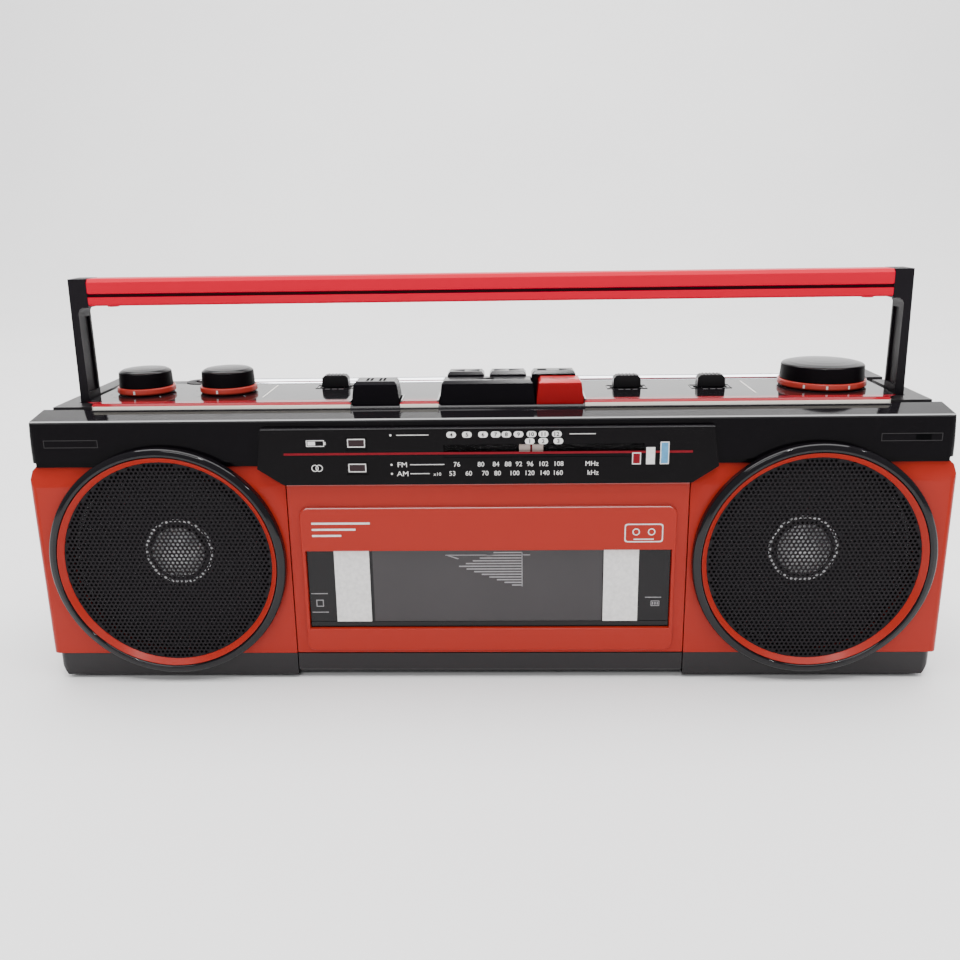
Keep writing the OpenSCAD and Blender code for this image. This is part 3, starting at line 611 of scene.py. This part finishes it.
def grille(side, origin):
    """Perforated steel disc: round holes on a triangular pitch, and a black ring behind its edge that paints
    the shade seen through the outer holes.
    """
    node = "speaker_grille_" + side
    low, high = span(node)
    reach = (high.x - low.x) / 2
    pitch, hole, sheet = 1.55, 0.52, 0.35
    row = pitch * math.sqrt(3) / 2
    cell = pitch / math.sqrt(3)
    rows = int(reach / row) + 1
    columns = int(reach / pitch) + 1
    bm = bmesh.new()
    for j in range(-rows, rows + 1):
        shift = pitch / 2 if j % 2 else 0
        for i in range(-columns, columns + 1):
            x, z = i * pitch + shift, j * row
            away = math.hypot(x, z)
            if away < reach - hole - 0.1:
                perforation(bm, origin, x, z, cell, hole, reach, low.y, low.y + sheet)
            elif away < reach + cell / 2:
                bm.faces.new([bm.verts.new((origin.x + a, low.y, origin.z + b))
                              for a, b in cell_corners(x, z, cell, reach)])
    bmesh.ops.remove_doubles(bm, verts=bm.verts, dist=0.01)
    # A thin black ring behind the grille's outer 3 mm, seen through the edge holes: painted shade.
    back, shade_ring_inner, thick = -low.y - sheet - 0.02, reach - 3, 0.02
    outline = [(shade_ring_inner, back), (reach, back), (reach, back + thick), (shade_ring_inner, back + thick)]
    lathe(bm, outline, origin, "front", 96, 1)
    piece(node + "_look", bm, "cabinet", ["grille_steel", "hole_black"], [node],
          weighted=False, recalc=False)


def cell_corners(x, z, cell, reach):
    """Corners of a six-sided cell, drawn in to the edge of the disc where they would pass it."""
    corners = []
    for k in range(6):
        turn = math.radians(30 + 60 * k)
        a, b = x + cell * math.cos(turn), z + cell * math.sin(turn)
        inside = min(1, reach / math.hypot(a, b))
        corners.append((a * inside, b * inside))
    return corners


def perforation(bm, origin, x, z, cell, hole, reach, front, back):
    """One six-sided cell of the grille with its hole and the hole's wall."""
    corners = [bm.verts.new((origin.x + a, front, origin.z + b))
               for a, b in cell_corners(x, z, cell, reach)]
    rim = []
    inner = []
    for k in range(12):
        turn = math.radians(30 * k)
        across, up = origin.x + x + hole * math.cos(turn), origin.z + z + hole * math.sin(turn)
        rim.append(bm.verts.new((across, front, up)))
        inner.append(bm.verts.new((across, back, up)))
    for k in range(6):
        at = 2 * k + 1
        after = (at + 2) % 12
        bm.faces.new((corners[k], corners[(k + 1) % 6], rim[after], rim[(at + 1) % 12], rim[at]))
    for k in range(12):
        bm.faces.new((rim[k], rim[(k + 1) % 12], inner[(k + 1) % 12], inner[k]))


# ---------- Dial ----------

FM_MARKS = [("76", -9.8), ("80", -1.8), ("84", 3.2), ("88", 7.2), ("92", 10.8), ("96", 14.5), ("102", 19.1),
            ("108", 24.1), ("MHz", 35)]
AM_MARKS = [("53", -11.4), ("60", -5.9), ("70", -0.4), ("80", 3.7), ("100", 9.5), ("120", 14.5),
            ("140", 19.5), ("160", 23.9), ("kHz", 35.4)]
UPPER_CHANNELS = [("4", -11.5), ("5", -6.3), ("6", -1.0), ("7", 3.2), ("8", 6.7), ("9", 10.7), ("10", 15.0),
                  ("11", 18.9), ("12", 23.3)]
LOWER_CHANNELS = [("1", 14.4), ("2", 18.8), ("3", 23.8)]
UPPER_Z, LOWER_Z, FM_Z, AM_Z = 89.5, 87.1, 79.4, 76.3    # heights of the four rows of figures
DOT_X = -31.6                                            # the dots that start the rows


def dial():
    rim = span("dial_bezel")[1].z - 0.7
    refined("dial_bezel", 0.45, materials=["bezel_black", "edge_gloss"],
            choose=lambda p: 1 if p.z > rim else 0)
    refined("dial_window", 0.1)
    refined("indicator_lenses", 0.15)
    refined("dial_needle", 0.08)
    low, high = span("dial_needle")
    middle = centre("dial_needle")
    bm = bmesh.new()
    bar(bm, middle.x - 0.35, low.z, middle.x + 0.35, high.z, low.y - PRINT_LIFT)
    printed("needle_line", bm, "needle", ["red_print"])
    dial_print(span("dial_bezel")[0].y - PRINT_LIFT)


def dial_print(y):
    """Scale figures, lines and lamp outlines on the bezel. White is 0, red 1, blue 2 and black 3."""
    bm = bmesh.new()
    scale_print(bm, y)
    slot_print(bm, y)
    lamp_print(bm, y)
    level_bars(bm, y - 2 * PRINT_LIFT)
    inks = ["white_print", "red_print", "blue_print", "bezel_black"]
    printed("dial_print", bm, "cabinet", inks)


def scale_print(bm, y):
    """Four rows of figures, with dots and lines beside three of them."""
    above = y - PRINT_LIFT
    half_line, dot = 0.12, 0.35
    for marks, z in ((UPPER_CHANNELS, UPPER_Z), (LOWER_CHANNELS, LOWER_Z)):
        for figure, x in marks:
            pill(bm, x, z, 1.6, 1.03, y)
            lettering(bm, figure, x, z, 1.35, above, 3, 1.1, 0.025)
    for marks, z in ((FM_MARKS, FM_Z), (AM_MARKS, AM_Z)):
        for figure, x in marks:
            lettering(bm, figure, x, z, 1.6, y)
    for label, z, line_end in (("FM", FM_Z, -14), ("AM", AM_Z, -19)):
        lettering(bm, label, -28, z, 1.65, y, 0, 1.15)
        oval(bm, DOT_X, z, dot, dot, y)
        bar(bm, -25.4, z - half_line, line_end, z + half_line, y)
    lettering(bm, "x10", -16.4, AM_Z - 0.2, 1.1, y, 0, 1.1)
    oval(bm, DOT_X, UPPER_Z, dot, dot, y)
    for start, end in ((-29.6, -19), (27.5, 36)):
        bar(bm, start, UPPER_Z - half_line, end, UPPER_Z + half_line, y)


def slot_print(bm, y):
    """Black behind and below the needle's slot, and the red line along it."""
    low, high = span("dial_window")
    bar(bm, low.x, low.z, high.x, high.z, span("dial_needle")[1].y + 0.15, 3)
    bar(bm, low.x - 0.2, low.z - 0.2, high.x + 0.2, low.z + 1.0, y, 3)
    bar(bm, -67.5, low.z + 0.75, 68, low.z + 1.5, y - PRINT_LIFT, 1)


def lamp_print(bm, y):
    """A white frame round each indicator lens, with a sign beside it."""
    low, high = span("indicator_lenses")
    x = (low.x + high.x) / 2
    half_w, half_h = (high.x - low.x) / 2 + 0.15, 1.8
    mask_h = half_h + 0.15
    for z, icon in ((high.z - half_h, battery_icon), (low.z + half_h, stereo_icon)):
        hollow_box(bm, x - half_w, z - mask_h, x + half_w, z + mask_h, 0.6, y, 3)
        hollow_box(bm, x - 2.95, z - 1.25, x + 2.95, z + 1.65, 0.3, y - PRINT_LIFT)
        icon(bm, x - 13.5, z + 0.2, y)


def level_bars(bm, y):
    """Three plain bars of rising height at the right end of the dial."""
    foot, step, half_w, line = 79, 4.6, 1.45, 0.3
    for k, (index, height) in enumerate(((1, 4.0), (0, 5.8), (2, 7.6))):
        x = 49.6 + step * k
        inner = half_w - line
        hollow_box(bm, x - half_w, foot, x + half_w, foot + height, line, y, 0)
        bar(bm, x - inner, foot + line, x + inner, foot + height - line, y, index)


def pill(bm, x, z, half_w, half_h, y, index=0):
    """A flat shape with round ends."""
    straight = half_w - half_h
    points = []
    for step in range(24):
        turn = 2 * math.pi * (step + 0.5) / 24
        shift = straight if math.cos(turn) > 0 else -straight
        points.append((x + shift + half_h * math.cos(turn), z + half_h * math.sin(turn)))
    sheet_outline(bm, points, y, index)


def battery_icon(bm, x, z, y):
    """A plain battery outline with a charge bar."""
    hollow_box(bm, x - 3.2, z - 1.1, x + 2.8, z + 1.1, 0.25, y)
    bar(bm, x + 2.8, z - 0.5, x + 3.3, z + 0.5, y)
    bar(bm, x - 2.7, z - 0.65, x - 0.2, z + 0.65, y)


def stereo_icon(bm, x, z, y):
    """Two rings that overlap, the usual sign for two channels."""
    for shift in (-0.7, 0.7):
        ring_print(bm, x + shift, z, 1.2, 0.95, y)


# ---------- Knobs, keys and switches ----------

def knobs():
    for name, ticks, facing in (("volume", 1, -95), ("balance", 1, -98), ("tuning", 3, -100)):
        low, high = span(name + "_ring")
        origin = centre(name + "_ring")
        radius = (high.x - low.x) / 2
        knob(name, origin, radius, high.z + 0.05)
        skirt_ring(name, origin, radius, low.z, high.z, ticks, facing)


def knob(name, origin, radius, foot):
    """A slightly domed cap with a sharp rim, glossy on top and dull on its side."""
    top = span(name + "_knob")[1].z
    outline = [(0, foot), (radius - 0.8, foot), (radius - 1.1, top - 1.5), (radius - 1.6, top - 1.05),
               (radius * 0.75, top - 0.55), (radius * 0.5, top - 0.2), (radius * 0.25, top - 0.04), (0, top)]
    bm = bmesh.new()
    lathe(bm, softened(outline, 0.25), origin, "up", 96)
    for face in bm.faces:
        face.material_index = 1 if face.calc_center_median().z < top - 1.4 else 0
    piece(name + "_knob_look", bm, name, ["knob_black", "knob_side"], [name + "_knob"])


def skirt_ring(name, origin, radius, low, high, ticks, facing):
    """The orange-red ring under a knob, with its white marks about the angle it faces."""
    outline = [(0, low), (radius - 0.5, low), (radius, low + 0.5), (radius - 0.05, high - 0.35),
               (radius - 0.3, high), (0, high)]
    spacing = 29
    bm = bmesh.new()
    lathe(bm, softened(outline, 0.2), origin, "up", 96)
    for k in range(ticks):
        tick(bm, origin, radius, low + 0.6, high - 0.5, facing + (k - (ticks - 1) / 2) * spacing)
    piece(name + "_ring_look", bm, name, ["knob_orange", "white_print"], [name + "_ring"])


def tick(bm, origin, radius, low, high, degrees):
    """A white mark on the side of a ring, slightly proud of it."""
    half = 0.35 / radius
    turn = math.radians(degrees)
    out = radius + PRINT_LIFT
    corners = []
    for angle, z in ((turn - half, low), (turn + half, low), (turn + half, high), (turn - half, high)):
        x, y = origin.x + out * math.cos(angle), origin.y + out * math.sin(angle)
        corners.append(bm.verts.new((x, y, z)))
    bm.faces.new(corners).material_index = 1


def keys():
    for name in ("pause", "play", "rewind", "forward", "stop", "record"):
        polished = span(name + "_key")[1].z - 0.8
        # The sides take a darker copy of the key's colour: painted shade.
        look = ["key_red", "record_side_shade"] if name == "record" else ["key_black", "key_side_shade"]
        refined(name + "_key", 0.35, steps=3, materials=look, choose=lambda p: 0 if p.z > polished else 1)
        key_symbol(name)
    key_rims()
    for name in ("function_switch", "band_switch", "mode_switch"):
        refined(name, 0.35, steps=3)
        switch_ribs(name)
        switch_slot(name)


def top_face(bm, corners, z, index=0):
    """A flat print in X and Y at a given height."""
    bm.faces.new([bm.verts.new((x, y, z)) for x, y in corners]).material_index = index


def top_bar(bm, x0, y0, x1, y1, z, index=0):
    top_face(bm, [(x0, y0), (x1, y0), (x1, y1), (x0, y1)], z, index)


def arrow(bm, x, y, half_w, half_d, z, turn):
    """A solid triangle on a key top that points left (-1) or right (1)."""
    back = x - turn * half_w
    top_face(bm, [(x + turn * half_w, y), (back, y + half_d), (back, y - half_d)], z)


def key_symbol(name):
    """The usual tape-deck signs, moulded into the key tops and filled dark."""
    low, high = span(name + "_key")
    x, y = (low.x + high.x) / 2, (low.y + high.y) / 2
    z = high.z + PRINT_LIFT
    bm = bmesh.new()
    if name == "pause":
        for shift in (-2.9, -1.5, 1.5, 2.9):
            top_bar(bm, x + shift - 0.4, y - 2.6, x + shift + 0.4, y + 2.6, z)
    elif name == "play":
        arrow(bm, x - 1, y, 3.2, 2.2, z, -1)
        top_bar(bm, x + 5, y - 0.4, x + 8, y + 0.4, z)
    elif name == "record":
        for step in range(32):
            a, b = (2 * math.pi * (step + k) / 32 for k in (0, 1))
            ring = [(x + r * 1.2 * math.cos(t), y + r * math.sin(t)) for r, t in
                    ((2.7, a), (2.7, b), (2.2, b), (2.2, a))]
            top_face(bm, ring, z)
    else:
        turn = -1 if name == "rewind" else 1
        spots = (-2.6, 2.6) if name != "stop" else (4.2,)
        for shift in spots:
            arrow(bm, x + shift, y, 2.2, 1.5, z, turn)
        if name == "stop":
            top_bar(bm, x - 5.6, y - 1.5, x - 2.4, y + 1.5, z)
    bmesh.ops.recalc_face_normals(bm, faces=bm.faces)
    for face in bm.faces:
        if face.normal.z < 0:
            face.normal_flip()
    material = "hole_black" if name != "record" else "red_print"
    printed(name + "_sign", bm, name, [material])


def key_rims():
    """Thin raised rims round the two key openings, a black lip in front of them and a black strip along the
    trim's foot that paints the shade under it.
    """
    panel_top = span("control_panel")[1].z
    pause_low, pause_high = span("pause_key")
    play_low = span("play_key")[0]
    record_high = span("record_key")[1]
    rear = span("rewind_key")[1].y
    trim, trim_end = span("panel_trim")
    gap, wide = 0.4, 0.6
    bm = bmesh.new()
    # A black strip along the foot of the trim: painted shade.
    add_block(bm, (trim.x + 0.2, trim.y - 0.05, trim.z - 0.05),
              (trim_end.x - 0.2, trim.y + 0.3, trim.z + 0.25))
    for x0, x1, front, back in ((pause_low.x, pause_high.x, pause_low.y, pause_high.y),
                                (play_low.x, record_high.x, play_low.y, rear)):
        x0, x1, front, back = x0 - gap, x1 + gap, front - 0.1, back + gap
        rear_side = ((x0 - wide, back), (x1 + wide, back + wide))
        left_side = ((x0 - wide, front), (x0, back))
        right_side = ((x1, front), (x1 + wide, back))
        for low, high in (rear_side, left_side, right_side):
            rim = add_block(bm, (*low, panel_top - 0.3), (*high, panel_top + 0.4))
            bevel_all(bm, rim, 0.15)
        lip = add_block(bm, (x0 - 0.1, trim.y - 0.06, trim.z - 0.05), (x1 + 0.1, front, trim.z + 0.85))
        bevel_all(bm, lip, 0.12)
    piece("key_rims", bm, "cabinet", ["edge_gloss"])


def switch_ribs(name):
    """Finger grooves across the top of a slide switch."""
    low, high = span(name)
    y = (low.y + high.y) / 2
    bm = bmesh.new()
    for k in range(-2, 3):
        x = (low.x + high.x) / 2 + k * 1.3
        verts = add_block(bm, (x - 0.25, y - 2, high.z - 0.1), (x + 0.25, y + 2, high.z + 0.18))
        bevel_all(bm, verts, 0.1)
    piece(name + "_ribs", bm, frame["nodes"][name]["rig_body"], ["switch_black"])


def switch_slot(name):
    """A fine rim round the slot that a switch slides in, with three position marks in front."""
    middle = centre(name)
    panel_top = span("control_panel")[1].z
    x, y = middle.x, middle.y
    reach, half_d, line = 7.2, 3.4, 0.3
    inner = half_d - line
    front_side = ((x - reach, y - half_d), (x + reach, y - inner))
    rear_side = ((x - reach, y + inner), (x + reach, y + half_d))
    left_side = ((x - reach, y - inner), (x - reach + line, y + inner))
    right_side = ((x + reach - line, y - inner), (x + reach, y + inner))
    bm = bmesh.new()
    for low, high in (front_side, rear_side, left_side, right_side):
        rim = add_block(bm, (*low, panel_top - 0.1), (*high, panel_top + 0.2))
        bevel_all(bm, rim, 0.06)
    for k in (-1, 0, 1):
        mark = x + k * 2.5
        top_bar(bm, mark - 0.9, y - 4.9, mark + 0.9, y - 4.5, panel_top + PRINT_LIFT, 1)
    piece(name + "_slot", bm, "cabinet", ["panel_black", "grey_print"], recalc=False)


# ---------- Panel paint ----------

def panel_paint():
    """Red stripe behind the bright trim, divider lines and knob scales, printed on the panel."""
    z = span("control_panel")[1].z + PRINT_LIFT
    bm = bmesh.new()
    red_stripe(bm, z)
    for x in (-79.2, 93.5):
        top_bar(bm, x - 0.25, -14.5, x + 0.25, 9, z, 1)
    for name, first, last in (("volume", -50, 230), ("balance", -50, 230), ("tuning", 20, 160)):
        knob_scale(bm, name, first, last, z)
    for face in bm.faces:
        face.normal_update()
        if face.normal.z < 0:
            face.normal_flip()
    printed("panel_paint", bm, "cabinet", ["stripe_red", "trim_silver", "grey_print"])


def red_stripe(bm, z):
    """The stripe stops at both key openings, and its outer ends slant."""
    low, high = span("panel_trim")
    front, back = high.y + 0.15, high.y + 3.2
    margin, slant = 1.1, 3.4
    stops = [low.x]
    for first, last in (("pause_key", "pause_key"), ("play_key", "record_key")):
        stops += [span(first)[0].x - margin, span(last)[1].x + margin]
    stops.append(high.x)
    for start, end in zip(stops[0::2], stops[1::2]):
        left = start - (slant if start == low.x else 0)
        right = end + (slant if end == high.x else 0)
        top_face(bm, [(start, front), (end, front), (right, back), (left, back)], z)


def knob_scale(bm, name, first, last, z):
    """Eleven fine marks round a knob, between two angles. Every fifth is longer."""
    origin = centre(name + "_ring")
    inner = (span(name + "_ring")[1].x - origin.x) + 1.6
    place = Vector((origin.x, origin.y, 0))
    for k in range(11):
        turn = math.radians(first + (last - first) * k / 10)
        outer = inner + (1.6 if k % 5 == 0 else 1.0)
        side = Vector((-math.sin(turn), math.cos(turn), 0)) * 0.14
        out = Vector((math.cos(turn), math.sin(turn), 0))
        corners = [place + out * inner - side, place + out * outer - side, place + out * outer + side,
                   place + out * inner + side]
        top_face(bm, [(c.x, c.y) for c in corners], z, 2)


# ---------- Cassette door ----------

def door():
    panel_low, panel_high = span("door_panel")
    raised_top = 64

    def highlight_edge(p):
        """The rounded top edges of the door and of its raised middle, which take a glossier, slightly
        lighter copy of the red: the lighter colour is a painted highlight.
        """
        top_edge = p.z > panel_high.z - 0.6 and p.y < panel_low.y + 1.8
        raised_edge = raised_top - 0.6 < p.z < raised_top + 0.05 and p.y < panel_low.y + 0.6
        return 1 if top_edge or raised_edge else 0

    refined("door_panel", 0.6, steps=3, materials=["red_moulding", "red_edge_highlight"], choose=highlight_edge)
    refined("door_sill", 0.5)
    refined("door_strips", 0.12)
    refined("cassette_holder", 0.3)
    low, high = span("door_window")
    clear_left, clear_right = -40.0, 39.5
    lip_top = span("door_strips")[0].z - 0.1
    bm = bmesh.new()
    for start, end in (((low.x, low.y, low.z), (clear_left, high.y, high.z)),
                       ((clear_right, low.y, low.z), (high.x, high.y, high.z)),
                       ((low.x, low.y - 0.25, low.z), (high.x, low.y, lip_top))):
        bevel_all(bm, add_block(bm, start, end), 0.1)
    piece("window_ends", bm, "door", ["window_black"])
    bm = bmesh.new()
    bevel_all(bm, add_block(bm, (clear_left, low.y, low.z), (clear_right, high.y, high.z)), 0.1)
    piece("window_pane", bm, "door", ["smoked_window"], ["door_window"])
    window_print(low.y - PRINT_LIFT)
    door_print(span("door_panel")[0].y - PRINT_LIFT)


def window_print(y):
    """Tape gauge of fine lines, an arrow above them and a small sign on each black end."""
    left_sign, right_sign, sign_z = -59.1, 57.9, 28.2
    line = 0.3
    bm = bmesh.new()
    gauge_lines(bm, y)
    for z in (sign_z - 3, sign_z + 4):
        bar(bm, left_sign - 2.9, z - line / 2, left_sign + 2.9, z + line / 2, y)
    hollow_box(bm, left_sign - 1.3, sign_z - 0.9, left_sign + 1.3, sign_z + 1.7, line, y)
    bar(bm, right_sign - 3.5, sign_z + 2.1, right_sign + 2.1, sign_z + 2.1 + line, y)
    hollow_box(bm, right_sign - 1.5, sign_z - 1, right_sign + 1.5, sign_z + 1, 0.25, y)
    for x in (right_sign - 0.8, right_sign, right_sign + 0.8):
        bar(bm, x - 0.2, sign_z - 0.5, x + 0.2, sign_z + 0.5, y)
    printed("window_print", bm, "door", ["grey_print"])


def gauge_lines(bm, y):
    """Level lines that grow longer and then shorter downwards, closed by an upright on the right."""
    right, top, widest, bottom = 11.8, 47.2, 42.2, 34.7
    top_left, widest_left, bottom_left = 2, -10, 9.6
    z = top
    while z >= bottom:
        if z > widest:
            left = top_left + (widest_left - top_left) * (top - z) / (top - widest)
        else:
            left = widest_left + (bottom_left - widest_left) * (widest - z) / (widest - bottom)
        bar(bm, left, z - 0.22, right, z + 0.22, y)
        z -= 1.0
    bar(bm, right - 0.2, bottom, right + 0.15, top, y)
    tip, shaft, half_line = -14.7, 46.3, 0.15
    for start, end in ((tip, 1.5), (right, 14.6)):
        bar(bm, start, shaft - half_line, end, shaft + half_line, y)
    barb = [(tip, shaft), (tip + 4.4, shaft - 1.5), (tip + 4.7, shaft - 1.2), (tip + 1.1, shaft)]
    sheet_outline(bm, barb, y)


def door_print(y):
    """Plain pinstripes on the left and a cassette sign on the right of the door's top."""
    bm = bmesh.new()
    left, thick, pitch = -60, 0.7, 2.2
    for k, length in enumerate((20, 15, 10)):
        top = 58.9 - pitch * k
        bar(bm, left, top - thick, left + length, top, y)
    x, z, half_w, half_h = 53, 54.6, 6.5, 3.3
    outline = [(x - half_w, z - half_h), (x + half_w, z - half_h), (x + half_w, z + half_h),
               (x - half_w, z + half_h)]
    outer = [tuple(p) for p in rounded(outline, 1.0, 3)]
    inner = [(x + (px - x) * 0.94, z + (pz - z) * 0.88) for px, pz in outer]
    for k in range(len(outer)):
        after = (k + 1) % len(outer)
        sheet_outline(bm, [outer[k], outer[after], inner[after], inner[k]], y)
    for shift in (-2.6, 2.6):
        ring_print(bm, x + shift, z + 0.4, 1.25, 0.9, y)
    bar(bm, x - 3.4, z - 2.4, x + 3.4, z - 2.05, y)
    printed("door_print", bm, "door", ["white_print"])


# ---------- Handle, aerial and deck ----------

def handle():
    low, high = span("handle_grip")
    groove = high.z - 6

    # Faces in the groove take a dark red: painted shade.
    def in_groove(p):
        return 1 if abs(p.z - groove) < 0.9 and p.y < low.y + 1 else 0

    refined("handle_grip", 0.3, steps=3, materials=["grip_red", "groove_painted_shade"], choose=in_groove)
    refined("handle_arms", 0.7, steps=3)


def aerial():
    refined("antenna_swivel", 0.3)
    for node in ("antenna_tube", "antenna_rod", "antenna_tip"):
        refined(node, 0.0)


def inside():
    """Parts behind the door, the grilles and the covers keep their CAD shapes: four get small bevels, and
    the rest only take their slot's finish.
    """
    for node in ("deck_plate", "head_bridge", "main_board", "battery_contacts"):
        refined(node, 0.15)
    for node in ("supply_spindle", "takeup_spindle", "capstan_flywheel", "pinch_roller", "motor",
                 "motor_pulley", "drive_belt", "speaker_frame_left", "speaker_frame_right",
                 "speaker_cone_left", "speaker_cone_right"):
        obj = frame["nodes"][node]
        obj.data.materials.clear()
        obj.data.materials.append(MATERIALS[NODE_SLOT[node]])


# ---------- Room, light and camera ----------

def room():
    """Pale floor that curves up into a backdrop. All in metres."""
    bm = bmesh.new()
    radius, wall, front, half_w, top = 0.7, 1.75, -7.0, 9.0, 3.2
    line = [(front, 0.0), (wall - radius, 0.0)]
    for step in range(1, 17):
        turn = math.radians(90 * step / 16)
        line.append((wall - radius + radius * math.sin(turn), radius - radius * math.cos(turn)))
    line.append((wall, top))
    rows = [[bm.verts.new((x, y, z)) for x in (-half_w, half_w)] for y, z in line]
    for near, far in zip(rows, rows[1:]):
        bm.faces.new((near[0], near[1], far[1], far[0]))
    mesh = bpy.data.meshes.new("backdrop")
    bm.to_mesh(mesh)
    bm.free()
    for polygon in mesh.polygons:
        polygon.use_smooth = True
    r = Recipe("backdrop_paper")
    tone = r.mix(r.ranged(r.noise(3, 4), 0.3, 0.7), colour(246, 245, 244), colour(241, 240, 240))
    r.link(tone, r.shader.inputs["Base Color"])
    r.set("Roughness", 0.55)
    r.bump(r.noise(500, 3), 0.03, 0.0002)
    mesh.materials.append(r.material)
    obj = bpy.data.objects.new("backdrop", mesh)
    scene.collection.objects.link(obj)


def soft_light(name, place, aim, width, height, watts):
    light = bpy.data.lights.new(name, "AREA")
    light.shape = "RECTANGLE"
    light.size = width
    light.size_y = height
    light.energy = watts
    obj = bpy.data.objects.new(name, light)
    scene.collection.objects.link(obj)
    obj.location = place
    direction = Vector(aim) - Vector(place)
    obj.rotation_euler = direction.to_track_quat("-Z", "Y").to_euler()


def lights():
    soft_light("overhead", (0, 0.1, 1.9), (0, 0.05, 0), 2.6, 1.8, 98)
    soft_light("front_fill", (-0.4, -1.9, 1.5), (0, 0, 0.05), 0.8, 0.5, 15)
    soft_light("backdrop_wash", (0, 0.9, 1.6), (0, 1.7, 0.5), 3.0, 0.6, 16)
    soft_light("glint_high", (0.05, -0.50, 1.00), (0, 0, 0.05), 0.05, 0.05, 2.0)
    soft_light("glint_right", (1.2, -0.7, 1.2), (0, 0, 0.05), 0.07, 0.07, 2.5)
    world = bpy.data.worlds.new("room_light")
    world.use_nodes = True
    background = world.node_tree.nodes["Background"]
    background.inputs["Color"].default_value = (0.94, 0.96, 1.0, 1)
    background.inputs["Strength"].default_value = 0.40
    scene.world = world


def camera():
    """The photograph's viewpoint: a third of a metre in front of the middle, looking down a little."""
    data = bpy.data.cameras.new("camera")
    data.sensor_width = 36.0
    data.lens = 35.93
    data.clip_end = 20
    heading, dip, roll = 1.77, -15.87, 0.88
    level = Matrix.Rotation(math.radians(90), 3, "X")
    turn = (Matrix.Rotation(math.radians(heading), 3, "Z") @ Matrix.Rotation(math.radians(dip), 3, "X")
            @ Matrix.Rotation(math.radians(roll), 3, "Y") @ level)
    obj = bpy.data.objects.new("camera", data)
    scene.collection.objects.link(obj)
    obj.matrix_world = Matrix.Translation((0.0073, -0.3457, 0.1614)) @ turn.to_4x4()
    scene.camera = obj


casing()
speakers()
dial()
knobs()
keys()
panel_paint()
door()
handle()
aerial()
inside()
room()
lights()
camera()
